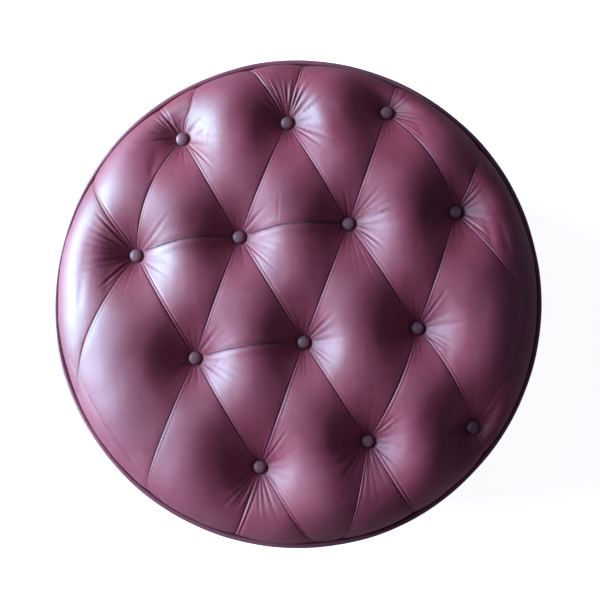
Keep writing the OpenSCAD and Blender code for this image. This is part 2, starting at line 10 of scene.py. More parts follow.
import bpy
import numpy as np
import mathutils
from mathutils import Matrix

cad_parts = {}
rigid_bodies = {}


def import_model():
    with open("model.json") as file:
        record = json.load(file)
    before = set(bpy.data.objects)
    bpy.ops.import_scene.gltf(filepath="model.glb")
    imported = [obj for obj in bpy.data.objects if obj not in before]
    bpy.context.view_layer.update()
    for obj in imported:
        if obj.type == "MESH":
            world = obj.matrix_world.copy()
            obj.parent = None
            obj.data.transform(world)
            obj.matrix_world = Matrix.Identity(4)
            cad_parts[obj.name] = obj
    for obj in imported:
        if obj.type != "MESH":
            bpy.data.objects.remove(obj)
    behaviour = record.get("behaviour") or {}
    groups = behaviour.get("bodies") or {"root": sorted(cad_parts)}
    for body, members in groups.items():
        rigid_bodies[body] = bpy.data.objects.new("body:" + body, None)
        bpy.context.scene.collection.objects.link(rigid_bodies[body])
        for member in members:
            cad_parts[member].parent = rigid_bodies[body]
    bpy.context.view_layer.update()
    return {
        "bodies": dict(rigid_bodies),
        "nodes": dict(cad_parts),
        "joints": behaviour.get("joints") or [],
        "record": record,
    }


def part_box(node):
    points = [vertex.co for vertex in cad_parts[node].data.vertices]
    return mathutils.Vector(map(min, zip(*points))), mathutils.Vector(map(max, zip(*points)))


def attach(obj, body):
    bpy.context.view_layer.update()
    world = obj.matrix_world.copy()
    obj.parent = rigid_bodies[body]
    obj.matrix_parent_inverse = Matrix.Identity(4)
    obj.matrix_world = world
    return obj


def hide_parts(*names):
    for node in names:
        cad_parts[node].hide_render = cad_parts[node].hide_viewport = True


logging.basicConfig(level=logging.INFO, format="%(message)s")
log = logging.getLogger("pouf")

MM = 0.001
TAU = 2 * math.pi
BODY = "root"
Array = np.ndarray
Colour = tuple[float, float, float]
Vector = tuple[float, float, float]
Mark = tuple[int, int]
Piece = bpy.types.Object
Material = bpy.types.Material
Tree = bpy.types.NodeTree
Node = bpy.types.Node
Socket = bpy.types.NodeSocket
FLOAT, VECTOR = "NodeSocketFloat", "NodeSocketVector"
COLOUR, GEOMETRY = "NodeSocketColor", "NodeSocketGeometry"
NO_STRETCH, NO_TURN = (1.0, 1.0, 1.0), (0.0, 0.0, 0.0)

# Creases of the top, each a groove in the leather and a painted shade line in its colour: first and last
# button from 0, bow in mm, share of the way that they cover, strength
TOP_CREASES = ((3, 4, 7.0, 1.0, 1.0), (4, 5, 6.0, 1.08, 1.0), (7, 8, 5.0, 0.95, 0.9))


# Shapes


def smooth(x: Array) -> Array:
    """Eased step from 0 to 1 over x from 0 to 1."""
    u = np.clip(x, 0.0, 1.0)
    return u * u * (3 - 2 * u)


def bell(x: Array) -> Array:
    """Bell curve, 1 at x = 0."""
    return np.exp(-(x**2))


def unit(v: Array) -> Array:
    """Vectors v brought to length 1."""
    return v / np.maximum(np.linalg.norm(v, axis=-1, keepdims=True), 1e-12)


def turns(count: int) -> Array:
    """Angles of even steps round a full turn."""
    return np.linspace(0, TAU, count, endpoint=False)


def pairs(count: int) -> list[tuple[int, int]]:
    """Numbers round a loop, each with the one after it."""
    return [(j, (j + 1) % count) for j in range(count)]


def around(r: Array, angle: Array, z: Array) -> Array:
    """Points at a radius, an angle and a height round the Z axis."""
    return np.stack(np.broadcast_arrays(r * np.cos(angle), r * np.sin(angle), z), -1)


def linked(thing: Piece) -> Piece:
    """Links an object into the scene."""
    bpy.context.scene.collection.objects.link(thing)
    return thing


def mesh_object(name: str, points: Array, faces: Iterable[Sequence[int]]) -> Piece:
    """A smooth-shaded mesh object at the origin.

    Args:
        name: name of the piece.
        points: vertices in millimetres.
        faces: corner numbers of each face, counter-clockwise from outside.

    Returns:
        The linked object.
    """
    mesh = bpy.data.meshes.new(name)
    faces = faces.tolist() if isinstance(faces, np.ndarray) else list(faces)
    mesh.from_pydata((np.asarray(points) * MM).tolist(), [], faces)
    mesh.validate()
    mesh.polygons.foreach_set("use_smooth", [True] * len(mesh.polygons))
    mesh.update()
    return linked(bpy.data.objects.new(name, mesh))


def sharp_by_angle(piece: Piece, degrees: float = 50) -> None:
    """Marks the edges that bend by more than an angle as sharp."""
    piece.data.set_sharp_from_angle(angle=math.radians(degrees))


def paint(piece: Piece, name: str, values: Array) -> None:
    """Stores one number for each vertex of a piece's outer face, and 0 for the rest, as an attribute."""
    layer = piece.data.attributes.new(name, "FLOAT", "POINT")
    layer.data.foreach_set("value", np.asarray(np.concatenate([values, 0 * values]), np.float32))


def band(rows: int, columns: int, closed_rows: bool, closed_columns: bool) -> Array:
    """Quads over a grid of vertices numbered row by row.

    Args:
        rows: rows of vertices.
        columns: vertices in a row.
        closed_rows: whether the last row joins the first.
        closed_columns: whether each row is a closed loop.

    Returns:
        Corner numbers of the quads, one quad to a line.
    """
    i = np.arange(rows if closed_rows else rows - 1)[:, None]
    j = np.arange(columns if closed_columns else columns - 1)[None, :]
    i2, j2 = (i + 1) % rows, (j + 1) % columns
    corners = [i * columns + j, i * columns + j2, i2 * columns + j2, i2 * columns + j]
    return np.stack(np.broadcast_arrays(*corners), -1).reshape(-1, 4)


def border(quads: Array) -> Array:
    """Directed edges that only one quad has.

    Args:
        quads: corner numbers of the quads.

    Returns:
        First and last vertex of each edge.
    """
    edges = np.stack([quads, np.roll(quads, -1, axis=1)], -1).reshape(-1, 2)
    size = int(edges.max()) + 1
    code, twin = edges[:, 0] * size + edges[:, 1], edges[:, 1] * size + edges[:, 0]
    return edges[~np.isin(code, twin)]


def shell(name: str, upper: Array, lower: Array, quads: Array) -> Piece:
    """A closed layer between two faces of the same grid.

    Args:
        name: name of the piece.
        upper: points of the outer face.
        lower: points of the inner face.
        quads: quads of the outer face.

    Returns:
        The linked object.
    """
    n, rim = len(upper), border(quads)
    walls = np.stack([rim[:, 1], rim[:, 0], rim[:, 0] + n, rim[:, 1] + n], -1)
    faces = np.concatenate([quads, quads[:, ::-1] + n, walls])
    return mesh_object(name, np.concatenate([upper, lower]), faces)


def place(piece: Piece, slot: str, *replaced: str) -> Piece:
    """Hands a finished piece to the frame.

    Args:
        piece: the finished piece.
        slot: the record's material slot of its finish, not used here.
        replaced: CAD nodes that it stands for.

    Returns:
        The piece.
    """
    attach(piece, BODY)
    if replaced:
        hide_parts(*replaced)
    log.info("%s: %d faces, for %s", piece.name, len(piece.data.polygons), ", ".join(replaced) or "no node")
    return piece


def node_box(name: str) -> tuple[Array, Array]:
    """Lowest and highest corners of a CAD node in millimetres."""
    low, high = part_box(name)
    return np.array(low) / MM, np.array(high) / MM


# Node trees


class Recipe:
    """Short calls that place and join the nodes of one tree."""

    def __init__(self, tree: Tree) -> None:
        """Takes the tree to build in."""
        self.tree = tree

    def put(self, kind: str, inputs: Optional[dict] = None, **settings: object) -> Node:
        """Places a node.

        Args:
            kind: type of the node.
            inputs: a value or a socket for each input, by name or number.
            settings: properties of the node.

        Returns:
            The new node.
        """
        node = self.tree.nodes.new(kind)
        for key, value in settings.items():
            setattr(node, key, value)
        for key, value in (inputs or {}).items():
            self.feed(node.inputs[key], value)
        return node

    def out(
        self, kind: str, inputs: Optional[dict] = None, output: int | str = 0, **settings: object
    ) -> Socket:
        """One output, by number or name, of a new node that put places."""
        return self.put(kind, inputs, **settings).outputs[output]

    def feed(self, socket: Socket, value: object) -> None:
        """Links a socket to another socket, or sets its value.

        Args:
            socket: input of a node.
            value: another node's output, or a value.
        """
        if isinstance(value, Socket):
            self.tree.links.new(value, socket)
        elif isinstance(value, tuple) and len(value) == 3 and socket.type == "RGBA":
            socket.default_value = (*value, 1.0)
        else:
            socket.default_value = value

    def math(self, operation: str, *values: object) -> Socket:
        """Result of a Math node on values or sockets."""
        return self.out("ShaderNodeMath", dict(enumerate(values)), operation=operation)

    def mul(self, a: object, b: object) -> Socket:
        """Product of two numbers."""
        return self.math("MULTIPLY", a, b)

    def add(self, a: object, b: object) -> Socket:
        """Sum of two numbers."""
        return self.math("ADD", a, b)

    def sub(self, a: object, b: object) -> Socket:
        """Difference of two numbers."""
        return self.math("SUBTRACT", a, b)

    def vector(self, operation: str, *values: object, output: int | str = 0) -> Socket:
        """Result of a Vector Math node on values or sockets."""
        return self.out("ShaderNodeVectorMath", dict(enumerate(values)), output, operation=operation)

    def mix(self, share: object, a: object, b: object, blend: str = "MIX") -> Socket:
        """Colour between a and b."""
        return self.out("ShaderNodeMix", {0: share, 6: a, 7: b}, 2, data_type="RGBA", blend_type=blend)

    def blend(self, share: object, a: object, b: object) -> Socket:
        """Number between a and b."""
        return self.out("ShaderNodeMix", {0: share, 2: a, 3: b}, data_type="FLOAT")

    def ramp(self, value: object, low: float, high: float) -> Socket:
        """A value brought from the range low to high to the range 0 to 1, eased."""
        return self.out("ShaderNodeMapRange", {0: value, 1: low, 2: high}, interpolation_type="SMOOTHSTEP")

    def noise(self, vector: object, scale: object, detail: float = 3.0, rough: float = 0.55) -> Socket:
        """Height of a noise texture."""
        inputs = {"Vector": vector, "Scale": scale, "Detail": detail, "Roughness": rough}
        return self.out("ShaderNodeTexNoise", inputs)

    def attribute(self, name: str) -> Socket:
        """A painted number of the piece."""
        return self.out("ShaderNodeAttribute", None, "Fac", attribute_name=name)

    def mapped(self, vector: object, scale: Vector = NO_STRETCH, turn: Vector = NO_TURN) -> Socket:
        """Coordinates stretched and turned."""
        return self.out("ShaderNodeMapping", {"Vector": vector, "Scale": scale, "Rotation": turn})

    def where(self, turn: Vector = NO_TURN) -> Socket:
        """Object coordinates, turned."""
        return self.mapped(self.out("ShaderNodeTexCoord", None, "Object"), turn=turn)

    def up(self, vector: Optional[Socket] = None) -> Socket:
        """Z of a vector, or of the surface's normal where none is given.

        Args:
            vector: the vector.

        Returns:
            Its Z.
        """
        if vector is None:
            vector = self.out("ShaderNodeNewGeometry", None, "Normal")
        return self.out("ShaderNodeSeparateXYZ", {0: vector}, 2)


class Surface(Recipe):
    """A material with one Principled shader, and the recipe of its tree."""

    def __init__(self, name: str, **inputs: object) -> None:
        """Makes the material, its shader and its output.

        Args:
            name: name of the finish.
            inputs: the shader's own numbers and colours, with spaces in their names as underscores.
        """
        self.material = bpy.data.materials.new(name)
        self.material.use_nodes = True
        super().__init__(self.material.node_tree)
        self.tree.nodes.clear()
        self.shader = self.put("ShaderNodeBsdfPrincipled")
        self.output = self.put("ShaderNodeOutputMaterial", {0: self.shader.outputs[0]})
        self.set(**inputs)

    def set(self, **inputs: object) -> None:
        """Feeds the shader's inputs, named with spaces as underscores."""
        for key, value in inputs.items():
            self.feed(self.shader.inputs[key.replace("_", " ")], value)

    def finish(
        self, colour: Socket, rough: Socket, height: Socket, depth: float, strength: float
    ) -> Material:
        """Feeds the shader and hands out the material.

        Args:
            colour: colour of the surface.
            rough: its roughness.
            height: height of its relief, from 0 to about 1.
            depth: depth of the relief in metres.
            strength: strength of the bump.

        Returns:
            The material.
        """
        bump = self.out("ShaderNodeBump", {"Height": height, "Distance": depth, "Strength": strength})
        self.set(Base_Color=colour, Roughness=rough, Normal=bump)
        return self.material


def make_group(
    name: str,
    inputs: Sequence[tuple[str, str, object]],
    outputs: Sequence[tuple[str, str]],
    kind: str = "ShaderNodeTree",
) -> tuple[Recipe, Sequence[Socket], Sequence[Socket]]:
    """An empty node group with its sockets.

    Args:
        name: name of the group.
        inputs: name, socket type and default of each input.
        outputs: name and socket type of each output.
        kind: type of the tree.

    Returns:
        The recipe of its tree, the sockets that give its inputs and the sockets that take its outputs.
    """
    tree = bpy.data.node_groups.new(name, kind)
    for label, socket, default in inputs:
        made = tree.interface.new_socket(label, in_out="INPUT", socket_type=socket)
        if default is not None:
            made.default_value = default
    for label, socket in outputs:
        tree.interface.new_socket(label, in_out="OUTPUT", socket_type=socket)
    recipe = Recipe(tree)
    return recipe, recipe.put("NodeGroupInput").outputs, recipe.put("NodeGroupOutput").inputs


class SharedEffect(Enum):
    """Surface effects that more than one finish uses."""

    HIDE = "hide_grain"
    FIBRE = "fibre_mat"
    WOOD = "wood_figure"
    DUST = "settled_dust"
    TONE = "uneven_tone"


class Effects:
    """Builds each shared effect once and places it in a material."""

    def __init__(self) -> None:
        """Builds the groups."""
        self.trees = {
            SharedEffect.HIDE: self.hide_grain(),
            SharedEffect.FIBRE: self.fibre_mat(),
            SharedEffect.WOOD: self.wood_figure(),
            SharedEffect.DUST: self.settled_dust(),
            SharedEffect.TONE: self.uneven_tone(),
        }

    @staticmethod
    def hide_grain() -> Tree:
        """Fine cells and pores of finished leather, as a height and a pore mask.

        Returns:
            The group.
        """
        inputs = [("Place", VECTOR, None), ("Cells per metre", FLOAT, 900.0), ("Pore share", FLOAT, 0.35)]
        r, given, made = make_group("hide_grain", inputs, [("Height", FLOAT), ("Pores", FLOAT)])
        bent = r.out("ShaderNodeTexNoise", {"Vector": given[0], "Scale": 260.0, "Detail": 1.0}, 1)
        spot = r.vector("ADD", given[0], r.vector("MULTIPLY", bent, (0.0012,) * 3))
        cells = r.out("ShaderNodeTexVoronoi", {"Vector": spot, "Scale": given[1]}, feature="DISTANCE_TO_EDGE")
        fine = r.noise(given[0], 3400.0, 2.0)
        pores = r.ramp(r.noise(given[0], 700.0, 2.0), 0.62, 0.74)
        height = r.add(r.mul(r.ramp(cells, 0.0, 0.22), 0.7), r.mul(fine, 0.3))
        r.feed(made[0], r.sub(height, r.mul(pores, given[2])))
        r.feed(made[1], pores)
        return r.tree

    @staticmethod
    def fibre_mat() -> Tree:
        """Crossed fibres of wadding, cloth and board, as a height.

        Returns:
            The group.
        """
        inputs = [("Place", VECTOR, None), ("Fibres per metre", FLOAT, 300.0)]
        r, given, made = make_group("fibre_mat", inputs, [("Height", FLOAT)])
        layers = [
            r.noise(r.mapped(given[0], stretch, (0.3, 0.2, turn)), given[1], 3.0, 0.6)
            for stretch, turn in (((1.0, 0.12, 1.0), 0.5), ((0.14, 1.0, 1.0), 1.3), ((1.0, 0.2, 0.6), 2.4))
        ]
        r.feed(made[0], r.math("MAXIMUM", r.math("MAXIMUM", layers[0], layers[1]), layers[2]))
        return r.tree

    @staticmethod
    def wood_figure() -> Tree:
        """Growth rings and pores along X, as a figure and a pore mask.

        Returns:
            The group.
        """
        inputs = [("Place", VECTOR, None), ("Rings per metre", FLOAT, 90.0), ("Waviness", FLOAT, 4.0)]
        r, given, made = make_group("wood_figure", inputs, [("Figure", FLOAT), ("Pores", FLOAT)])
        wave = {"Vector": r.mapped(given[0], (0.06, 1.0, 1.0)), "Scale": given[1], "Distortion": given[2]}
        wave |= {"Detail": 2.0, "Detail Scale": 0.35}
        rings = r.out("ShaderNodeTexWave", wave, 1, bands_direction="DIAGONAL")
        streaks = r.noise(r.mapped(given[0], (0.02, 1.0, 1.0)), 1400.0, 2.0)
        r.feed(made[0], r.blend(0.35, rings, streaks))
        r.feed(made[1], r.ramp(streaks, 0.6, 0.75))
        return r.tree

    @staticmethod
    def settled_dust() -> Tree:
        """Dust that lies on what faces up, as a mask.

        Returns:
            The group.
        """
        inputs = [("Place", VECTOR, None), ("Amount", FLOAT, 0.3)]
        r, given, made = make_group("settled_dust", inputs, [("Mask", FLOAT)])
        cloud = r.ramp(r.noise(given[0], 35.0, 4.0), 0.4, 0.7)
        r.feed(made[0], r.mul(r.mul(r.ramp(r.up(), 0.2, 1.0), cloud), given[1]))
        return r.tree

    @staticmethod
    def uneven_tone() -> Tree:
        """Large and small clouds between two colours.

        Returns:
            The group.
        """
        inputs = [("Place", VECTOR, None), ("Dark", COLOUR, None), ("Light", COLOUR, None)]
        inputs.append(("Clouds per metre", FLOAT, 9.0))
        r, given, made = make_group("uneven_tone", inputs, [("Colour", COLOUR), ("Cloud", FLOAT)])
        large = r.noise(given[0], given[3], 3.0)
        small = r.noise(given[0], r.mul(given[3], 9.0), 3.0)
        cloud = r.ramp(r.blend(0.35, large, small), 0.32, 0.68)
        r.feed(made[0], r.mix(cloud, given[1], given[2]))
        r.feed(made[1], cloud)
        return r.tree

    def put(self, recipe: Recipe, effect: SharedEffect, *values: object) -> Sequence[Socket]:
        """Places an effect in a material's tree.

        Args:
            recipe: recipe of the material.
            effect: the shared effect.
            values: a value or socket for each input, in order.

        Returns:
            The effect's outputs.
        """
        return recipe.put("ShaderNodeGroup", dict(enumerate(values)), node_tree=self.trees[effect]).outputs


# Finishes


@dataclass(frozen=True)
class CreaseLine:
    """A thin crease between two buttons, seen from above, in metres: a bump and a painted shade line in the
    leather's colour.
    """

    start: tuple[float, float]
    end: tuple[float, float]
    rise: float
    share: float
    strength: float = 1.0
    half: float = 0.0012
    wander: float = 0.004

    def mask(self, r: Recipe, where: Socket) -> Socket:
        """Mask of the crease, which darkens the colour as a painted shade line and sinks the bump.

        Args:
            r: recipe of the material.
            where: Object coordinates.

        Returns:
            The mask, at its strength in the crease and 0 beside it.
        """
        (x0, y0), (x1, y1) = self.start, self.end
        long = math.hypot(x1 - x0, y1 - y0)
        a, b = (x1 - x0) / long, (y1 - y0) / long
        run = r.vector("DOT_PRODUCT", where, (a / long, b / long, 0.0), output="Value")
        side = r.vector("DOT_PRODUCT", where, (-b, a, 0.0), output="Value")
        along, across = r.add(run, -(a * x0 + b * y0) / long), r.add(side, b * x0 - a * y0)
        bow = r.mul(r.mul(along, r.sub(1.0, along)), 4 * self.rise)
        wander = r.mul(r.sub(r.noise(where, 45.0, 2.0), 0.5), self.wander)
        gap = r.math("ABSOLUTE", r.sub(r.sub(across, bow), wander))
        inside = r.mul(r.ramp(along, 0.07, 0.16), r.ramp(along, self.share, self.share - 0.22))
        return r.mul(r.mul(r.ramp(gap, self.half, 0.0), inside), self.strength)


@dataclass(frozen=True)
class LeatherFinish:
    """Smooth dyed hide with a satin top coat, creased where it folds, its creases darkened with painted
    shade.
    """

    name: str
    dark: Colour = (0.262, 0.021, 0.042)
    light: Colour = (0.334, 0.031, 0.058)
    # fold: dark colour of the pores, also mixed in as painted shade in the creases, seams and button rings
    fold: Colour = (0.060, 0.008, 0.022)
    # crest_colour: lighter colour mixed in on the crests of the outer panels
    crest_colour: Colour = (0.32, 0.09, 0.15)
    roughness: float = 0.56
    coat: float = 0.09
    grain_depth: float = 0.00006
    clouds: float = 11.0
    cells: float = 820.0
    # painted: whether the painted crease shade and the crest tint are mixed in
    painted: bool = True
    lines: tuple[CreaseLine, ...] = ()

    def build(self, effects: Effects) -> Material:
        """Builds the leather's material.

        Args:
            effects: the shared effects.

        Returns:
            The material.
        """
        r = Surface(self.name, Coat_Weight=self.coat, Coat_Roughness=0.34, Specular_IOR_Level=0.84)
        where = r.where()
        tone, cloud = effects.put(r, SharedEffect.TONE, where, self.dark, self.light, self.clouds)
        grain, pores = effects.put(r, SharedEffect.HIDE, where, self.cells, 0.3)
        colour = r.mix(r.mul(pores, 0.3), tone, self.fold)
        rough = r.blend(cloud, self.roughness - 0.03, self.roughness + 0.04)
        if self.painted:
            # The crease mark darkens the colour towards fold as painted shade in seams, folds and the ring
            # round each button; it also dulls the coat and roughens the surface.
            crease = r.attribute("crease")
            colour = r.mix(r.mul(crease, 0.6), colour, self.fold)
            colour = r.mix(r.mul(r.attribute("wear"), 0.35), colour, self.crest_colour)
            rough = r.add(rough, r.mul(crease, 0.3))
            r.set(Coat_Weight=r.mul(r.sub(1.0, crease), self.coat))
        height = r.add(grain, r.mul(r.noise(where, 130.0, 3.0), 1.6))
        for line in self.lines:
            # Each crease line darkens the colour as a painted shade line, roughens it and sinks the bump.
            mask = line.mask(r, where)
            colour = r.mix(r.mul(mask, 0.9), colour, self.fold)
            rough = r.add(rough, r.mul(mask, 0.4))
            height = r.sub(height, r.mul(mask, 5.0))
        return r.finish(colour, rough, height, self.grain_depth, 0.8)


@dataclass(frozen=True)
class FibreFinish:
    """Matted or woven fibres: wadding, cloth, cord, thread and hardboard."""

    name: str
    dark: Colour
    light: Colour
    fibres: float = 400.0
    depth: float = 0.0004
    roughness: float = 0.95
    sheen: float = 0.0
    dust: float = 0.0
    dust_colour: Colour = (0.45, 0.42, 0.38)

    def build(self, effects: Effects) -> Material:
        """Builds the fibres' material.

        Args:
            effects: the shared effects.

        Returns:
            The material.
        """
        r = Surface(self.name, Sheen_Weight=self.sheen, Sheen_Roughness=0.5, Specular_IOR_Level=0.25)
        where = r.where()
        (fibre,) = effects.put(r, SharedEffect.FIBRE, where, self.fibres)
        tone, _ = effects.put(r, SharedEffect.TONE, where, self.dark, self.light, 20.0)
        (dust,) = effects.put(r, SharedEffect.DUST, where, self.dust)
        shade = r.ramp(fibre, 0.45, 0.75)
        colour = r.mix(dust, r.mix(shade, r.mix(0.4, self.dark, tone), tone), self.dust_colour)
        rough = r.blend(shade, self.roughness, self.roughness - 0.08)
        return r.finish(colour, rough, fibre, self.depth, 0.9)


@dataclass(frozen=True)
class FoamFinish:
    """Open-celled upholstery foam, yellowed with age."""

    name: str = "upholstery_foam"
    fresh: Colour = (0.70, 0.62, 0.40)
    aged: Colour = (0.55, 0.42, 0.20)
    cell: Colour = (0.25, 0.17, 0.07)
    cells: float = 650.0

    def build(self, effects: Effects) -> Material:
        """Builds the foam's material.

        Args:
            effects: the shared effects.

        Returns:
            The material.
        """
        r = Surface(self.name, Specular_IOR_Level=0.2)
        where = r.where()
        tone, _ = effects.put(r, SharedEffect.TONE, where, self.aged, self.fresh, 14.0)
        cells = r.out("ShaderNodeTexVoronoi", {"Vector": where, "Scale": self.cells}, feature="SMOOTH_F1")
        hole = r.ramp(cells, 0.55, 0.25)
        return r.finish(r.mix(r.mul(hole, 0.6), tone, self.cell), r.blend(hole, 0.9, 1.0), cells, 0.0008, 1.0)


@dataclass(frozen=True)
class WoodFinish:
    """Solid wood along X, or turned wood along Z, bare or polished."""

    name: str
    dark: Colour
    light: Colour
    rings: float = 90.0
    roughness: float = 0.6
    coat: float = 0.0
    dust: float = 0.0
    turn: Vector = NO_TURN
    plies: float = 0.0
    dust_colour: Colour = (0.5, 0.46, 0.4)

    def build(self, effects: Effects) -> Material:
        """Builds the wood's material.

        Args:
            effects: the shared effects.

        Returns:
            The material.
        """
        r = Surface(self.name, Coat_Weight=self.coat, Coat_Roughness=0.2)
        where = r.where(self.turn)
        figure, pores = effects.put(r, SharedEffect.WOOD, where, self.rings, 5.0)
        tone, _ = effects.put(r, SharedEffect.TONE, where, (0.8,) * 3, (1.0,) * 3, 12.0)
        (dust,) = effects.put(r, SharedEffect.DUST, where, self.dust)
        colour = r.mix(1.0, r.mix(figure, self.dark, self.light), tone, "MULTIPLY")
        colour = r.mix(r.mul(pores, 0.5), colour, tuple(0.5 * c for c in self.dark))
        if self.plies:
            layer = r.math("PINGPONG", r.mul(r.up(r.where()), self.plies), 1.0)
            upright = r.ramp(r.math("ABSOLUTE", r.up()), 0.6, 0.2)
            line = r.mul(r.ramp(layer, 0.42, 0.58), upright)
            colour = r.mix(r.mul(line, 0.55), colour, self.dark)
        rough = r.blend(figure, self.roughness, self.roughness + 0.1)
        return r.finish(r.mix(dust, colour, self.dust_colour), rough, figure, 0.0002, 0.5)


@dataclass(frozen=True)
class MetalFinish:
    """Zinc-plated steel, dulled and finely scratched."""

    name: str = "plated_steel"
    bright: Colour = (0.62, 0.63, 0.64)
    dull: Colour = (0.36, 0.35, 0.33)

    def build(self, effects: Effects) -> Material:
        """Builds the steel's material.

        Args:
            effects: the shared effects.

        Returns:
            The material.
        """
        r = Surface(self.name, Metallic=1.0)
        where = r.where()
        tone, _ = effects.put(r, SharedEffect.TONE, where, self.dull, self.bright, 90.0)
        (scratch,) = effects.put(r, SharedEffect.FIBRE, where, 1500.0)
        return r.finish(tone, r.blend(r.ramp(scratch, 0.5, 0.8), 0.28, 0.5), scratch, 0.00004, 0.5)


@dataclass(frozen=True)
class NylonFinish:
    """Dark moulded nylon, scuffed where it slides."""

    name: str = "glide_nylon"
    colour: Colour = (0.025, 0.024, 0.023)
    scuffed: Colour = (0.12, 0.115, 0.11)

    def build(self, effects: Effects) -> Material:
        """Builds the nylon's material.

        Args:
            effects: the shared effects.

        Returns:
            The material.
        """
        r = Surface(self.name, Specular_IOR_Level=0.45)
        (scuff,) = effects.put(r, SharedEffect.FIBRE, r.where(), 700.0)
        mask = r.ramp(scuff, 0.62, 0.8)
        return r.finish(r.mix(mask, self.colour, self.scuffed), r.blend(mask, 0.42, 0.7), scuff, 0.00005, 0.4)


class Finishes:
    """Every finish of the pouf, built once and found by its slot in the record."""

    def __init__(self, buttons: Array) -> None:
        """Builds the materials.

        Args:
            buttons: plan places of the buttons in millimetres, which the creases of the top run between.
        """
        spots = [tuple(spot) for spot in (buttons * MM).tolist()]
        lines = tuple(CreaseLine(spots[a], spots[b], rise * MM, *rest) for a, b, rise, *rest in TOP_CREASES)
        upended, ply_t = (0.0, math.pi / 2, 0.0), 0.0026
        sets = {
            "top_leather": LeatherFinish("top_leather", lines=lines),
            "side_leather": LeatherFinish("side_leather"),
            "piping_leather": LeatherFinish(
                "piping_leather", (0.23, 0.045, 0.070), (0.29, 0.062, 0.092), roughness=0.42, painted=False
            ),
            "button_leather": LeatherFinish(
                "button_leather", (0.25, 0.066, 0.085), (0.32, 0.09, 0.115),
                roughness=0.5, coat=0.05, painted=False,
            ),
            "wadding": FibreFinish(
                "polyester_wadding", (0.68, 0.68, 0.66), (0.86, 0.86, 0.84), 260.0, 0.0012, sheen=0.3
            ),
            "foam": FoamFinish(),
            "piping_cord": FibreFinish("cotton_cord", (0.55, 0.50, 0.40), (0.76, 0.72, 0.62), 900.0, 0.0002),
            "twine": FibreFinish("flax_twine", (0.42, 0.34, 0.22), (0.68, 0.60, 0.44), 1200.0, 0.00015),
            "steel": MetalFinish(),
            "plywood": WoodFinish(
                "birch_plywood", (0.42, 0.27, 0.14), (0.66, 0.48, 0.29), 60.0, 0.65,
                dust=0.15, plies=1 / ply_t,
            ),
            "batten_wood": WoodFinish(
                "pine_batten", (0.48, 0.30, 0.14), (0.72, 0.52, 0.30), 110.0, 0.65, dust=0.12, turn=upended
            ),
            "hardboard": FibreFinish(
                "hardboard", (0.16, 0.085, 0.04), (0.27, 0.16, 0.08), 420.0, 0.0002, 0.7, dust=0.1
            ),
            "dust_cloth": FibreFinish(
                "bonded_dust_cloth", (0.010, 0.010, 0.011), (0.030, 0.030, 0.032), 700.0, 0.0002, 0.9,
                sheen=0.15, dust=0.05,
            ),
            "foot_wood": WoodFinish(
                "polished_foot_wood", (0.045, 0.014, 0.008), (0.15, 0.050, 0.024), 130.0, 0.28,
                coat=0.35, turn=upended,
            ),
            "glide_nylon": NylonFinish(),
            "thread": FibreFinish(
                "bonded_thread", (0.15, 0.045, 0.08), (0.26, 0.09, 0.14), 3000.0, 0.00008, 0.6
            ),
        }
        effects = Effects()
        self.materials = {slot: finish.build(effects) for slot, finish in sets.items()}

    def finish(self, piece: Piece, slot: str, *replaced: str) -> Piece:
        """Gives a piece the finish of its slot and hands it to the frame.

        Args:
            piece: the built piece.
            slot: the record's material slot that it takes its finish from.
            replaced: CAD nodes that it stands for.

        Returns:
            The piece.
        """
        piece.data.materials.clear()
        piece.data.materials.append(self.materials[slot])
        return place(piece, slot, *replaced)

    def dress_nodes(self, nodes: dict, record: dict) -> None:
        """Gives the CAD nodes that stay in view the finish of their slot.

        Args:
            nodes: the frame's node objects by name.
            record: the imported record.
        """
        slots = {part["node"]: part["material_slot"] for part in record["subparts"]}
        for name, node in sorted(nodes.items()):
            if not node.hide_render:
                for holder in node.material_slots:
                    holder.material = self.materials[slots[name]]
                log.info("%s: CAD node dressed as %s", name, slots[name])


# Geometry Nodes


def run_tree(name: str, lines: Sequence[Array], closed: bool, tree: Tree, **sizes: float) -> Piece:
    """Runs a Geometry Nodes tree on polylines and keeps its result as a plain mesh.

    Args:
        name: name of the new piece.
        lines: points of each line in millimetres.
        closed: whether each line joins its own start.
        tree: the tree.
        sizes: value of each named input, in metres or as a count.

    Returns:
        The new mesh object.
    """
    edges, first = [], 0
    for line in lines:
        n = len(line)
        edges.extend((first + i, first + (i + 1) % n) for i in range(n if closed else n - 1))
        first += n
    mesh = bpy.data.meshes.new(f"{name}_path")
    mesh.from_pydata((np.concatenate(lines) * MM).tolist(), edges, [])
    path = linked(bpy.data.objects.new(mesh.name, mesh))
    modifier = path.modifiers.new("build", "NODES")
    modifier.node_group = tree
    for item in tree.interface.items_tree:
        if item.item_type == "SOCKET" and item.in_out == "INPUT" and item.name in sizes:
            modifier[item.identifier] = sizes[item.name]
    graph = bpy.context.evaluated_depsgraph_get()
    graph.update()
    result = bpy.data.meshes.new_from_object(path.evaluated_get(graph))
    result.name = name
    piece = linked(bpy.data.objects.new(name, result))
    path.modifiers.remove(modifier)
    bpy.data.objects.remove(path)
    return piece


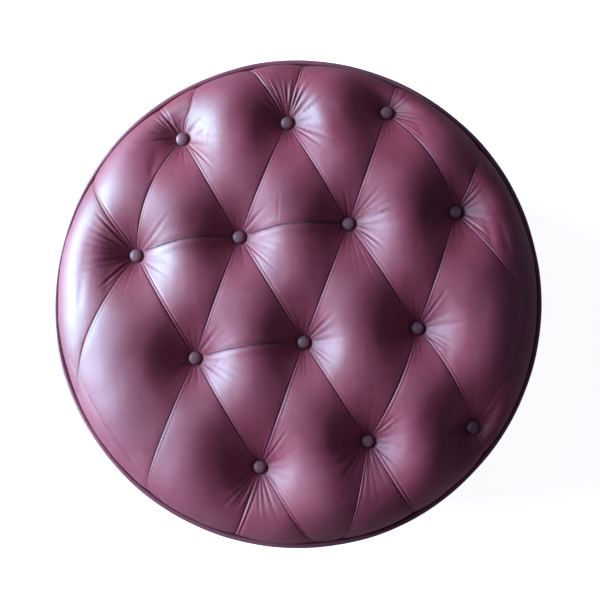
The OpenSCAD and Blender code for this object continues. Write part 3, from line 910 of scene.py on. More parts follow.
class GeometryTrees:
    """Geometry Nodes trees for stitches, staples and twisted cords."""

    def __init__(self, finishes: Finishes) -> None:
        """Builds the trees.

        Args:
            finishes: the finishes that the trees set.
        """
        self.stitches = self.along("sewn_stitches", self.stitch, finishes.materials["thread"])
        self.staples = self.along("wire_staples", self.staple, finishes.materials["steel"])
        self.cord = self.twisted("twisted_cord", finishes.materials["piping_cord"])
        self.twine = self.twisted("twisted_twine", finishes.materials["twine"])

    @staticmethod
    def stitch(r: Recipe, given: Sequence[Socket]) -> Socket:
        """One plump stitch along X.

        Args:
            r: recipe of the tree.
            given: the tree's inputs.

        Returns:
            The shape.
        """
        ball = r.out("GeometryNodeMeshUVSphere", {"Segments": 8, "Rings": 6, "Radius": 0.5})
        wide = given["Thickness"]
        size = r.out("ShaderNodeCombineXYZ", {0: given["Length"], 1: wide, 2: wide})
        return r.out("GeometryNodeTransform", {"Geometry": ball, "Scale": size})

    @staticmethod
    def staple(r: Recipe, given: Sequence[Socket]) -> Socket:
        """One staple along X, its crown on the surface and its legs below.

        Args:
            r: recipe of the tree.
            given: the tree's inputs.

        Returns:
            The shape.
        """
        leg_l = 0.004
        half = r.mul(given["Thickness"], 0.5)
        crown = r.out("GeometryNodeMeshCylinder", {"Vertices": 8, "Radius": half, "Depth": given["Length"]})
        laid = r.out("GeometryNodeTransform", {"Geometry": crown, "Rotation": (0.0, math.pi / 2, 0.0)})
        join = r.put("GeometryNodeJoinGeometry", {0: laid})
        for side in (-0.5, 0.5):
            leg = r.out("GeometryNodeMeshCylinder", {"Vertices": 8, "Radius": half, "Depth": leg_l})
            spot = r.out("ShaderNodeCombineXYZ", {0: r.mul(given["Length"], side), 2: leg_l / 2})
            r.feed(join.inputs[0], r.out("GeometryNodeTransform", {"Geometry": leg, "Translation": spot}))
        return join.outputs[0]

    @staticmethod
    def closing(r: Recipe, made: Sequence[Socket], shape: Socket, material: Material) -> Tree:
        """Ends a tree with real copies, smooth shading and the finish.

        Args:
            r: recipe of the tree.
            made: the tree's outputs.
            shape: what it made.
            material: finish of it all.

        Returns:
            The tree.
        """
        solid = r.out("GeometryNodeRealizeInstances", {0: shape})
        soft = r.out("GeometryNodeSetShadeSmooth", {"Geometry": solid})
        r.feed(made[0], r.out("GeometryNodeSetMaterial", {"Geometry": soft, "Material": material}))
        return r.tree

    @classmethod
    def along(
        cls, name: str, shape: Callable[[Recipe, Sequence[Socket]], Socket], material: Material
    ) -> Tree:
        """A tree that sets copies of a shape along a path.

        Args:
            name: name of the tree.
            shape: puts the shape's nodes in and returns its geometry.
            material: finish of the copies.

        Returns:
            The tree.
        """
        inputs = [("Geometry", GEOMETRY, None), ("Pitch", FLOAT, 0.005), ("Length", FLOAT, 0.003)]
        inputs.append(("Thickness", FLOAT, 0.0007))
        r, given, made = make_group(name, inputs, [("Geometry", GEOMETRY)], "GeometryNodeTree")
        curve = r.out("GeometryNodeMeshToCurve", {0: given[0]})
        spaced = r.out("GeometryNodeResampleCurve", {"Curve": curve, "Length": given["Pitch"]}, mode="LENGTH")
        tangent = r.out("GeometryNodeInputTangent")
        turn = r.out("FunctionNodeAlignRotationToVector", {"Vector": tangent}, axis="X")
        copies = {"Points": spaced, "Instance": shape(r, given), "Rotation": turn}
        return cls.closing(r, made, r.out("GeometryNodeInstanceOnPoints", copies), material)

    @classmethod
    def twisted(cls, name: str, material: Material) -> Tree:
        """A tree that lays a twisted cord along a path.

        Args:
            name: name of the tree.
            material: finish of the cord.

        Returns:
            The tree.
        """
        corners, valley = 18, 0.12
        inputs = [("Geometry", GEOMETRY, None), ("Radius", FLOAT, 0.0018), ("Lay", FLOAT, 0.012)]
        inputs += [("Strands", FLOAT, 3.0), ("Step", FLOAT, 0.002)]
        r, given, made = make_group(name, inputs, [("Geometry", GEOMETRY)], "GeometryNodeTree")
        curve = r.out("GeometryNodeMeshToCurve", {0: given[0]})
        spaced = r.out("GeometryNodeResampleCurve", {"Curve": curve, "Length": given["Step"]}, mode="LENGTH")
        run = r.out("GeometryNodeSplineParameter", None, "Length")
        angle = r.mul(r.math("DIVIDE", run, given["Lay"]), TAU)
        tilted = r.out("GeometryNodeSetCurveTilt", {"Curve": spaced, "Tilt": angle})
        circle = {"Resolution": corners, "Radius": given["Radius"]}
        ring = r.out("GeometryNodeCurvePrimitiveCircle", circle)
        share = r.mul(r.out("GeometryNodeInputIndex"), TAU / corners)
        lobe = r.math("COSINE", r.mul(share, given["Strands"]))
        reach = r.add(r.mul(lobe, valley), 1 - valley)
        here = r.out("GeometryNodeInputPosition")
        spot = r.out("ShaderNodeVectorMath", {0: here, "Scale": reach}, operation="SCALE")
        section = r.out("GeometryNodeSetPosition", {"Geometry": ring, "Position": spot})
        tube = {"Curve": tilted, "Profile Curve": section, "Fill Caps": True}
        return cls.closing(r, made, r.out("GeometryNodeCurveToMesh", tube), material)


# The buttoned top


@dataclass
class Crown:
    """Profile of the top without its tufts, and the way over its rolled edge, in millimetres.

    The plain roll height, dome height and power are those of the crown that the buttons are seated by.
    """

    edge_r: float
    edge_z: float
    roll_h: float = 64.0
    dome_h: float = 10.0
    roll_power: float = 7.0
    flat_r: float = 262.0
    plain: tuple[float, float, float] = (56.0, 18.0, 5.0)
    step: float = 0.6
    radii: Array = field(init=False)
    heights: Array = field(init=False)
    runs: Array = field(init=False)

    def __post_init__(self) -> None:
        """Measures the way along the profile from the middle to the edge."""
        share = 1 - (1 - np.linspace(0, 1, 1500)) ** 2
        self.radii = self.edge_r * share
        self.heights = self.height(self.radii)
        steps = np.hypot(np.diff(self.radii), np.diff(self.heights))
        way = np.concatenate([[0], np.cumsum(steps)])
        start = np.interp(self.flat_r, self.radii, way)
        self.runs = np.where(self.radii < self.flat_r, self.radii, self.flat_r + way - start)

    @property
    def reach(self) -> float:
        """Way from the middle to the edge."""
        return float(self.runs[-1])

    def height(self, r: Array) -> Array:
        """Height of the crown at a radius."""
        return self.edge_z + self.rise(r, self.roll_h, self.dome_h, self.roll_power)

    def rise(self, r: Array, roll_h: float, dome_h: float, power: float) -> Array:
        """Rise over the edge at a radius, for a roll and a dome."""
        x = np.clip(np.asarray(r) / self.edge_r, 0, 1)
        return roll_h * np.sqrt(1 - x**power) + dome_h * (1 - x * x)

    def lift(self, r: Array) -> Array:
        """How far the stuffed crown stands over the plain one."""
        return self.height(r) - self.edge_z - self.rise(r, *self.plain)

    def profile(self, run: Array) -> tuple[Array, Array, Array]:
        """The crown at a way from the middle.

        Args:
            run: ways from the middle.

        Returns:
            Radius, height and tilt of the outward normal.
        """
        runs = (run, *(np.clip(run + d, 0, self.reach) for d in (-self.step, self.step)))
        r, r1, r2 = (np.interp(way, self.runs, self.radii) for way in runs)
        z, z1, z2 = (np.interp(way, self.runs, self.heights) for way in runs)
        return r, z, np.arctan2(z1 - z2, r2 - r1)


@dataclass(frozen=True)
class SeamEdge:
    """One seam of the lattice, from a mark to the next one down to the right or down to the left."""

    start: Mark
    rightward: bool
    depth: float = 1.0
    bow: tuple[float, float] = (0.0, 0.0)
    lip: float = 0.45
    stitched: bool = False


class Lattice:
    """Marks and seams of the buttoning, laid out on the leather before it goes over the edge."""

    SPAN = 5
    BUTTON_MARKS: tuple[Mark, ...] = (
        (-2, 0), (-1, -1), (0, -2),
        (-2, 1), (-1, 0), (0, -1), (1, -2),
        (-1, 1), (0, 0), (1, -1),
        (0, 1), (1, 0), (2, -1),
    )
    RIM_MARKS: dict[Mark, tuple[float, float]] = {
        (-3, 1): (-281.4, 175.0), (-3, 0): (-229.7, 315.5), (-2, -1): (-120.4, 407.2),
        (-1, -2): (17.0, 362.0), (0, -3): (162.0, 369.0), (1, -3): (258.5, 240.3),
        (2, -2): (281.9, 0.7), (-2, 2): (-273.1, -92.0), (-1, 2): (-188.7, -229.3),
        (0, 2): (-94.1, -338.8), (1, 1): (45.4, -376.8), (2, 0): (171.7, -308.7),
        (3, -1): (292.0, -262.0),
    }
    EDGES: tuple[SeamEdge, ...] = (
        SeamEdge((-2, 0), False, 0.9, (-11.3, 4.3), 0.15),
        SeamEdge((0, -2), True, 0.9, (8.7, 5.9), 0.2),
        SeamEdge((-2, 1), False, 0.75, (-5.2, 2.8), 0.2),
        SeamEdge((1, -2), True, 0.7, lip=0.3),
        SeamEdge((2, -2), False, 0.6, (10.9, -5.0), 0.2),
        SeamEdge((1, -1), True, 0.9, (5.2, 3.0), 0.3),
        SeamEdge((1, -1), False, 1.0, (4.3, -1.9), 0.3),
        SeamEdge((-2, 2), True, 0.35, (2.6, 1.6), 0.4, True),
        SeamEdge((-1, 1), False, 0.7, lip=0.12, stitched=True),
        SeamEdge((0, 1), True, 0.7, (6.0, 3.0), 0.55, True),
        SeamEdge((0, 1), False, 0.75, lip=1.0),
        SeamEdge((1, 0), False, 0.6, lip=0.6),
        SeamEdge((1, 0), True, 0.85, lip=0.8),
        SeamEdge((2, -1), True, 0.6, lip=0.9),
        SeamEdge((-3, 1), True, 0.75, lip=0.7),
        SeamEdge((-3, 0), True, 0.8, lip=0.5),
        SeamEdge((-2, -1), False, 0.7, lip=0.3),
        SeamEdge((-2, -1), True, 0.8, lip=0.6),
        SeamEdge((-1, -2), False, 0.8, lip=0.6),
        SeamEdge((0, -3), False, 0.8, lip=0.4),
        SeamEdge((1, -3), False, 0.75, lip=0.4),
        SeamEdge((-2, 1), True, 1.0, lip=0.6),
        SeamEdge((-1, 0), True, 1.0, lip=0.3),
        SeamEdge((0, 0), False, 1.0, lip=0.15, stitched=True),
    )

    def __init__(self, buttons: Array) -> None:
        """Lays the marks out from the buttons' places.

        Args:
            buttons: plan places of the buttons in millimetres, in the order of their names.
        """
        self.buttons = buttons
        marks = np.array(self.BUTTON_MARKS, float)
        frame = np.linalg.lstsq(np.c_[np.ones(len(marks)), marks], buttons, rcond=None)[0]
        n = 2 * self.SPAN + 1
        index = np.arange(n) - self.SPAN
        s, t = np.meshgrid(index, index, indexing="ij")
        self.nodes = frame[0] + s[..., None] * frame[1] + t[..., None] * frame[2]
        for mark, spot in [*zip(self.BUTTON_MARKS, buttons), *self.RIM_MARKS.items()]:
            self.nodes[self.at(mark)] = spot
        self.depths = {True: np.zeros((n, n)), False: np.zeros((n, n))}
        self.bows = {True: np.zeros((n, n, 2)), False: np.zeros((n, n, 2))}
        self.lips = {True: np.full((n, n), 0.18), False: np.full((n, n), 0.12)}
        known = set(self.BUTTON_MARKS)
        for mark in known:
            for rightward, other in ((True, (mark[0] + 1, mark[1])), (False, (mark[0], mark[1] + 1))):
                if other in known:
                    self.depths[rightward][self.at(mark)] = 1.0
        for edge in self.EDGES:
            for table, value in ((self.depths, edge.depth), (self.bows, edge.bow), (self.lips, edge.lip)):
                table[edge.rightward][self.at(edge.start)] = value
        a, b = frame[1], frame[2]
        self.pitch = abs(a[0] * b[1] - a[1] * b[0]) / (0.5 * (np.linalg.norm(a) + np.linalg.norm(b)))

    def at(self, mark: Mark) -> Mark:
        """Place of a mark in the tables."""
        return mark[0] + self.SPAN, mark[1] + self.SPAN

    def button_gap(self, p: Array) -> Array:
        """Distance of each place to the middle of the nearest button."""
        return np.min([np.linalg.norm(p - b, axis=-1) for b in self.buttons], axis=0)

    def spot(self, s: Array, t: Array) -> Array:
        """Plan place on the leather.

        Args:
            s: lattice numbers down to the right.
            t: lattice numbers down to the left.

        Returns:
            The places.
        """
        i, j = np.floor(s).astype(int), np.floor(t).astype(int)
        f, g = (s - i)[..., None], (t - j)[..., None]
        i, j = i + self.SPAN, j + self.SPAN
        right, left = self.bows[True], self.bows[False]
        back = (1 - g) * self.nodes[i, j] + g * self.nodes[i, j + 1]
        ahead = (1 - g) * self.nodes[i + 1, j] + g * self.nodes[i + 1, j + 1]
        return (
            ((1 - f) * back + f * ahead)
            + 4 * f * (1 - f) * ((1 - g) * right[i, j] + g * right[i, j + 1])
            + 4 * g * (1 - g) * ((1 - f) * left[i, j] + f * left[i + 1, j])
        )

    def on_seam(self, tables: dict[bool, Array], s: Array, t: Array, rightward: bool) -> Array:
        """Number of the seam nearest to each place, even from one seam to the next.

        Args:
            tables: the seams' numbers for both families.
            s: lattice numbers down to the right.
            t: lattice numbers down to the left.
            rightward: the family of seams that run down to the right, at whole t.

        Returns:
            The number at each place.
        """
        along, across = (s, t) if rightward else (t, s)
        table = tables[rightward] if rightward else tables[rightward].T
        line = np.rint(across).astype(int) + self.SPAN
        i = np.floor(along).astype(int)
        f = along - i
        i = i + self.SPAN
        back = 0.5 * (1 - np.clip(4 * f, 0, 1))
        ahead = 0.5 * (1 - np.clip(4 * (1 - f), 0, 1))
        return (1 - back - ahead) * table[i, line] + back * table[i - 1, line] + ahead * table[i + 1, line]


@dataclass(frozen=True)
class Wrinkle:
    """A fold drawn in the leather, from its start outwards, in millimetres and degrees."""

    x: float
    y: float
    heading: float
    length: float
    depth: float
    width: float = 2.0
    bend: float = 0.0
    clear: float = 7.0

    def groove(self, p: Array) -> tuple[Array, Array]:
        """Rows of the places that the fold reaches, and its height there.

        Args:
            p: places on the leather.

        Returns:
            Row numbers and heights, negative in the fold.
        """
        away = p - np.array([self.x, self.y])
        near = np.flatnonzero((np.abs(away) < self.length + 6).all(axis=1))
        a = math.radians(self.heading)
        u = away[near] @ np.array([math.cos(a), math.sin(a)])
        v = away[near] @ np.array([-math.sin(a), math.cos(a)])
        x = np.clip(u / self.length, 0, 1)
        v = v - self.bend * x * x
        w = self.width * (0.55 + 0.75 * x)
        fade = smooth((u - self.clear) / (0.16 * self.length)) * (1 - smooth((x - 0.35) / 0.65))
        ridge = bell((np.abs(v) - 2.1 * w) / (1.1 * w))
        return near, self.depth * fade * (0.45 * ridge - bell(v / w))


class WrinkleSet:
    """Every fold of the top: fans at the buttons, creases across the panels and pulls at the edge."""

    # Low heading, high heading, number, lengths and depths of the fans at every button
    EVERY_BUTTON = (
        (-46, 56, 6, (48, 76), (0.6, 1.3)),
        (132, 215, 5, (34, 58), (0.25, 0.6)),
        (252, 292, 2, (36, 60), (0.2, 0.45)),
        (78, 106, 2, (34, 54), (0.2, 0.4)),
    )
    # Button from 0, low heading, high heading, number, length and depth of the fans that stand out
    OWN_FANS = (
        (1, 62, 112, 11, 80, 1.3), (1, 128, 168, 6, 64, 1.2), (0, 122, 186, 10, 70, 2.0),
        (0, -16, 34, 4, 64, 1.3), (3, 128, 226, 9, 84, 2.4), (11, -106, -64, 4, 104, 0.45),
        (10, -154, -112, 5, 76, 1.9), (10, -100, -66, 3, 84, 0.8), (12, -70, 24, 6, 62, 0.8),
        (12, 165, 215, 5, 60, 1.1), (5, -88, -66, 3, 110, 0.3), (6, -42, 40, 5, 60, 1.0),
        (5, -34, 48, 6, 70, 1.7), (9, -34, 10, 4, 76, 1.2), (7, 200, 235, 3, 60, 0.7),
        (11, 176, 236, 6, 74, 1.9),
    )
    CREASE_DEPTH = 2.1
    CREASE_WIDTH = 2.1

    def __init__(self, lattice: Lattice, seed: int = 11) -> None:
        """Draws the folds round the buttons.

        Args:
            lattice: marks and seams of the buttoning.
            seed: seed of the draws.
        """
        self.rng = np.random.default_rng(seed)
        self.buttons = lattice.buttons
        self.folds: list[Wrinkle] = []
        for k in range(len(self.buttons)):
            for fan in self.EVERY_BUTTON:
                self.fan(k, *fan)
        for k, low, high, count, length, depth in self.OWN_FANS:
            self.fan(k, low, high, count, (0.75 * length, length), (0.6 * depth, depth))
        (x4, y4), (x5, y5) = self.buttons[4], self.buttons[5]
        self.folds.append(Wrinkle(x4 + 46, y4 + 14, 84, 42, 0.5, 1.2, 2, 0))
        self.folds.append(Wrinkle(x5, y5, 24, 78, 1.4, 1.7, -16))

    def fan(
        self,
        k: int,
        low: float,
        high: float,
        count: int,
        lengths: tuple[float, float],
        depths: tuple[float, float],
    ) -> None:
        """Folds that spread from a button.

        Args:
            k: number of the button, from 0.
            low: first heading in degrees.
            high: last heading in degrees.
            count: number of folds.
            lengths: least and greatest length.
            depths: least and greatest depth.
        """
        x, y = self.buttons[k]
        draw = self.rng.uniform
        for i in range(count):
            heading = low + (high - low) * (i + 0.5 + draw(-0.3, 0.3)) / count
            fold = Wrinkle(x, y, heading, draw(*lengths), draw(*depths), draw(1.1, 1.9), draw(-7, 7))
            self.folds.append(fold)

    def crease(self, p: Array, start: int, end: int, rise: float, share: float, strength: float) -> Array:
        """Height of a thin crease that runs from one button towards another.

        Args:
            p: places on the leather.
            start: number of the first button.
            end: number of the other button.
            rise: how far the crease bows backwards.
            share: share of the way that it covers.
            strength: share of the full depth.

        Returns:
            Heights, negative in the crease.
        """
        a, b = self.buttons[start], self.buttons[end]
        long = np.linalg.norm(b - a)
        d = (b - a) / long
        u = (p - a) @ d
        x = u / long
        v = (p - a) @ np.array([-d[1], d[0]]) - rise * 4 * x * (1 - x)
        fade = smooth((u - 8) / 8) * (1 - smooth((x - share + 0.2) / 0.2)) * smooth((long - u - 8) / 10)
        width = self.CREASE_WIDTH
        shape = bell(v / width) - 0.5 * bell((v + 2.4 * width) / (1.8 * width))
        return -self.CREASE_DEPTH * strength * np.where((x > 0) & (x < 1), fade * shape, 0.0)

    def height(self, p: Array) -> Array:
        """Height of all the folds.

        Args:
            p: places on the leather.

        Returns:
            Heights, negative in a fold.
        """
        flat = p.reshape(-1, 2)
        total = np.zeros(len(flat))
        for fold in self.folds:
            rows, height = fold.groove(flat)
            total[rows] += height
        for crease in TOP_CREASES:
            total += self.crease(flat, *crease)
        return total.reshape(p.shape[:-1])


class Unevenness:
    """Slow waves in the stuffing and the leather, as a sum of plain waves."""

    def __init__(self, seed: int, waves: Sequence[tuple[float, float, int]]) -> None:
        """Draws the waves.

        Args:
            seed: seed of the draws.
            waves: wavelength, height and number of the waves of each size.
        """
        rng = np.random.default_rng(seed)
        self.parts = []
        for length, height, count in waves:
            for _ in range(count):
                angle, phase = rng.uniform(0, TAU, 2)
                k = TAU / (length * rng.uniform(0.75, 1.3))
                kx, ky = k * math.cos(angle), k * math.sin(angle)
                self.parts.append((kx, ky, phase, height / math.sqrt(count)))

    def height(self, x: Array, y: Array) -> Array:
        """Height of the waves at each place."""
        return sum(h * np.sin(kx * x + ky * y + phase) for kx, ky, phase, h in self.parts)


@dataclass
class ButtonedTop:
    """The top of the pouf: buttoned leather over wadding and foam, in millimetres."""

    crown: Crown
    lattice: Lattice
    finishes: Finishes
    trees: GeometryTrees
    seat_z: float
    leather_t: float = 1.2
    wadding_t: float = 6.0
    wadding_in: float = 2.2
    foam_gap: float = 0.4
    skirt_in: float = 9.5
    tuft_depth: float = 38.0
    tuft_fade: float = 0.5
    tuft_run: float = 106.0
    tuft_power: float = 2.7
    seam_lift: float = 0.81
    fold_power: float = 0.6
    fold_soft: float = 0.0055
    groove_w: float = 0.85
    button_r: float = 8.25
    edge_fade: float = 46.0
    edge_puff: float = 0.9
    edge_notch: float = 1.2
    lean_r: float = 236.0
    span: int = 4
    cloth_cap: float = 2.2
    cloth_frames: int = 20
    swell: Optional[Array] = None
    swell_steps: Array = field(default_factory=lambda: np.zeros(0))

    def __post_init__(self) -> None:
        """Draws the folds and the waves."""
        self.wrinkles = WrinkleSet(self.lattice)
        self.waves = Unevenness(5, [(110, 0.6, 5), (48, 0.14, 7), (17, 0.03, 8)])

    def steps(self, fine: float, coarse: float, reach: float = 26.0) -> Array:
        """Lattice numbers of the grid lines, closer together at the seams.

        Args:
            fine: step at a seam.
            coarse: step in the middle of a panel.
            reach: distance from a seam over which the steps grow.

        Returns:
            Numbers from the first mark to the last.
        """
        half = self.lattice.pitch / 2
        way = np.linspace(0, half, 2000)
        density = 1 / (fine + (coarse - fine) * smooth(way / reach))
        count = np.concatenate([[0], np.cumsum(0.5 * (density[1:] + density[:-1]) * np.diff(way))])
        n = int(round(count[-1]))
        side = np.interp(np.linspace(0, count[-1], n + 1), count, way) / (2 * half)
        local = np.concatenate([side, 1 - side[-2:0:-1]])
        whole = np.arange(-self.span, self.span)
        return np.append((whole[:, None] + local[None, :]).ravel(), self.span)

    def filling(self, s: Array, t: Array, p: Array, left: Array, right: Array) -> Array:
        """How full the stuffing stands, from 0 at a button to 1 in the open.

        Args:
            s: lattice numbers down to the right.
            t: lattice numbers down to the left.
            p: places on the leather.
            left: depths of the seams down to the left.
            right: depths of the seams down to the right.

        Returns:
            The share at each place.
        """
        soft, power = self.fold_soft**2, self.fold_power
        fold_s = 1 - left * (1 - np.sqrt(np.sin(np.pi * s) ** 2 + soft) ** power)
        fold_t = 1 - right * (1 - np.sqrt(np.sin(np.pi * t) ** 2 + soft) ** power)
        fill = self.seam_lift + (1 - self.seam_lift) * fold_s * fold_t
        for b in self.lattice.buttons:
            away = np.linalg.norm(p - b, axis=-1) - self.button_r + 2.1
            away = 0.5 * (away + np.hypot(away, 1.5))
            fill = fill * (1 - np.clip(1 - away / self.tuft_run, 0, 1) ** self.tuft_power)
        return fill

    def relief(self, s: Array, t: Array, detail: bool) -> tuple[Array, Array, Array, Array]:
        """The face of the leather.

        Args:
            s: lattice numbers down to the right.
            t: lattice numbers down to the left.
            detail: whether the folds are in it.

        Returns:
            Points, ways from the middle, marks of painted shade in the creases and marks of the crest tint.
        """
        lattice, crown = self.lattice, self.crown
        p = lattice.spot(s, t)
        run = np.linalg.norm(p, axis=-1)
        over = run > crown.reach
        heading = unit(p)
        run = np.minimum(run, crown.reach)
        to_edge = crown.reach - run
        p = heading * run[..., None]
        r, z, tilt = crown.profile(run)
        gap = lattice.button_gap(p)
        left, right = (lattice.on_seam(lattice.depths, s, t, family) for family in (False, True))
        left_lip, right_lip = (lattice.on_seam(lattice.lips, s, t, family) for family in (False, True))
        fill = self.filling(s, t, p, left, right)
        depth = self.tuft_depth * (1 - self.tuft_fade * (r / crown.edge_r) ** 4) + crown.lift(r)
        edge = smooth(to_edge / self.edge_fade)
        sink = depth * (1 - fill) * edge
        off_s, off_t = s - np.rint(s), t - np.rint(t)
        shallow = 0.05
        seam_gap = lattice.pitch * np.minimum(
            np.abs(off_s) + 9 * (left < shallow), np.abs(off_t) + 9 * (right < shallow)
        )
        notch = bell(seam_gap / 5.0) * (1 - edge) * smooth(to_edge / 6)
        puff = (1 - edge) * smooth(to_edge / 10) * smooth(seam_gap / 30)
        wave = self.waves.height(p[..., 0], p[..., 1]) * smooth((gap - 6) / 30) * smooth(to_edge / 12)
        side_s, side_t = lattice.pitch * off_s, -lattice.pitch * off_t
        # The crease marks are painted shade: they darken the leather's colour in the seams, in the drawn
        # folds and in a ring round each button.
        crease = np.maximum(left * bell(side_s / self.groove_w), right * bell(side_t / self.groove_w))
        folded = left * self.pleat(side_s, left_lip) + right * self.pleat(side_t, right_lip)
        lift = self.edge_puff * puff - self.edge_notch * notch + wave + folded * smooth((gap - 9) / 8)
        if detail:
            drawn = self.wrinkles.height(p) * (0.35 + 0.65 * smooth(seam_gap / 6))
            lift = lift + drawn
            crease = np.maximum(crease, np.clip(-0.6 * drawn - 0.2, 0, 0.75))
            crease = np.maximum(crease, bell((gap - self.button_r) / 2.2))
        down = smooth((run - self.lean_r) / 52) * tilt * (0.2 + 0.8 * smooth((gap - 8) / 56))
        out = (r - sink * np.sin(down) + lift * np.sin(tilt))[..., None] * heading
        up = z - sink * np.cos(down) + lift * np.cos(tilt)
        if self.swell is not None:
            loose = smooth((gap - 10) / 30) * smooth((crown.reach - 30 - run) / 70)
            moved = self.swelling(s, t) * loose[..., None]
            out, up = out + moved[..., :2], up + moved[..., 2]
        # wear: share of a lighter colour on the fullest parts of the panels away from the middle
        wear = 0.5 * smooth((fill - 0.82) / 0.18) * smooth((run - 150) / 130)
        points = np.concatenate([out, up[..., None]], -1)
        return points, np.where(over, crown.reach + 1, run), crease, wear

    @staticmethod
    def pleat(side: Array, lip: Array) -> Array:
        """Height of a pleat's fold.

        Args:
            side: distances to the right of its seam.
            lip: share of the fold that stands up as a lip.

        Returns:
            Heights, negative in the groove.
        """
        groove = -(0.5 + 0.6 * lip) * bell(side / (0.75 + 0.15 * lip))
        rib = 0.85 * bell((side - 1.5 - 0.6 * lip) / (0.75 + 0.25 * lip))
        return groove + lip * (rib - 0.6 * bell((side - 3.4 - lip) / 1.1))

    def swelling(self, s: Array, t: Array) -> Array:
        """Shift that the cloth took in its simulation.

        Args:
            s: lattice numbers down to the right.
            t: lattice numbers down to the left.

        Returns:
            The shift at each place.
        """
        k, shift = self.swell_steps, self.swell

        def split(v: Array) -> tuple[Array, Array]:
            """Grid line before each number, and the share of the way to the next."""
            i = np.clip(np.searchsorted(k, v, side="right") - 1, 0, len(k) - 2)
            return i, ((v - k[i]) / (k[i + 1] - k[i]))[..., None]

        (i, f), (j, g) = split(s), split(t)
        back = (1 - g) * shift[i, j] + g * shift[i, j + 1]
        ahead = (1 - g) * shift[i + 1, j] + g * shift[i + 1, j + 1]
        return (1 - f) * back + f * ahead

    def face(self, fine: float, coarse: float, detail: bool) -> tuple[Array, ...]:
        """The leather's face as a grid cut to its edge.

        Args:
            fine: step at a seam.
            coarse: step in the middle of a panel.
            detail: whether the folds are in it.

        Returns:
            Points, quads, marks of painted crease shade, marks of the crest tint, grid numbers of the kept
            points and the grid lines.
        """
        k = self.steps(fine, coarse)
        s, t = np.meshgrid(k, k, indexing="ij")
        points, run, crease, wear = self.relief(s, t, detail)
        quads = band(len(k), len(k), False, False)
        inside = (run <= self.crown.reach - 0.35).ravel()
        kept, packed = np.unique(quads[inside[quads].any(axis=1)], return_inverse=True)
        crease, wear = crease.ravel()[kept], wear.ravel()[kept]
        return points.reshape(-1, 3)[kept], packed.reshape(-1, 4), crease, wear, kept, k

    @staticmethod
    def normals(points: Array, quads: Array) -> Array:
        """Normal of each point.

        Args:
            points: the points.
            quads: the quads between them.

        Returns:
            The normals.
        """
        d1 = points[quads[:, 2]] - points[quads[:, 0]]
        d2 = points[quads[:, 3]] - points[quads[:, 1]]
        total = np.zeros_like(points)
        for corner in range(4):
            np.add.at(total, quads[:, corner], np.cross(d1, d2))
        return unit(total)

    def inflate(self) -> None:
        """Lets the leather settle as cloth over its stuffing, held at its buttons, seams and edge."""
        points, quads, _, _, kept, k = self.face(3.0, 5.0, False)
        cloth = mesh_object("cloth_draft", points, quads)
        s, t = (v.ravel()[kept] for v in np.meshgrid(k, k, indexing="ij"))
        seam = self.lattice.pitch * np.minimum(np.abs(s - np.rint(s)), np.abs(t - np.rint(t)))
        spot = self.lattice.spot(s, t)
        gap = self.lattice.button_gap(spot)
        edge = self.crown.reach - np.linalg.norm(spot, axis=-1)
        holds = [1 - smooth((gap - 10) / 34), 1 - smooth((edge - 2) / 8), 0.55 * (1 - smooth(seam / 5))]
        hold = np.maximum.reduce(holds)
        group = cloth.vertex_groups.new(name="held")
        for i in np.flatnonzero(hold > 0.01):
            group.add([int(i)], float(hold[i]), "REPLACE")
        sim = cloth.modifiers.new("cloth", "CLOTH")
        setup = sim.settings
        setup.quality = 6
        setup.mass = 0.3
        setup.tension_stiffness = setup.compression_stiffness = 25
        setup.shear_stiffness = 12
        setup.bending_stiffness = 6.0
        setup.air_damping = 5
        setup.vertex_group_mass = "held"
        setup.pin_stiffness = 2.0
        setup.shrink_min = 0.003
        setup.use_pressure = True
        setup.uniform_pressure_force = 4.0
        setup.effector_weights.gravity = 0
        sim.point_cache.frame_start, sim.point_cache.frame_end = 1, self.cloth_frames
        scene = bpy.context.scene
        for frame in range(1, self.cloth_frames + 1):
            scene.frame_set(frame)
        result = cloth.evaluated_get(bpy.context.evaluated_depsgraph_get()).to_mesh()
        moved = np.empty(len(points) * 3)
        result.vertices.foreach_get("co", moved)
        scene.frame_set(1)
        bpy.data.objects.remove(cloth)
        shift = moved.reshape(-1, 3) / MM - points
        size = np.linalg.norm(shift, axis=1, keepdims=True)
        grid = np.zeros((len(k) * len(k), 3))
        grid[kept] = shift * np.minimum(1, self.cloth_cap / np.maximum(size, 1e-9))
        self.swell, self.swell_steps = grid.reshape(len(k), len(k), 3), k
        mean = float(size.mean())
        log.info("top leather settled as cloth: %d points, mean move %.2f mm", len(points), mean)

    def build(self) -> None:
        """Builds the leather, the wadding, the foam and the stitches of the seams."""
        fine, coarse = ((0.6, 2.1))
        self.inflate()
        points, quads, crease, wear, _, _ = self.face(fine, coarse, True)
        under = points - self.leather_t * self.normals(points, quads)
        cover = shell("buttoned_leather_top", points, under, quads)
        # The crease marks carry painted shade into the leather's colour.
        paint(cover, "crease", crease)
        paint(cover, "wear", wear)
        self.finishes.finish(cover, "top_leather", "top_cover")
        base, quads, _, _, _, _ = self.face(2.6, 6.0, False)
        normal = self.normals(base, quads)
        lean = np.where(normal[:, 2:] > 0.75, np.array([0.0, 0.0, 1.0]), normal)
        top, low = (base - (self.leather_t + t) * lean for t in (self.wadding_in, self.wadding_t))
        wadding = shell("wadding_layer", top, low, quads)
        self.finishes.finish(wadding, "wadding", "top_wadding")
        self.foam(base - (self.leather_t + self.wadding_t + self.foam_gap) * lean, quads)
        stitch = {"Pitch": 4.9 * MM, "Length": 3.2 * MM, "Thickness": 0.55 * MM}
        seams = run_tree("top_seam_stitches", self.seam_lines(), False, self.trees.stitches, **stitch)
        place(seams, "top_leather")

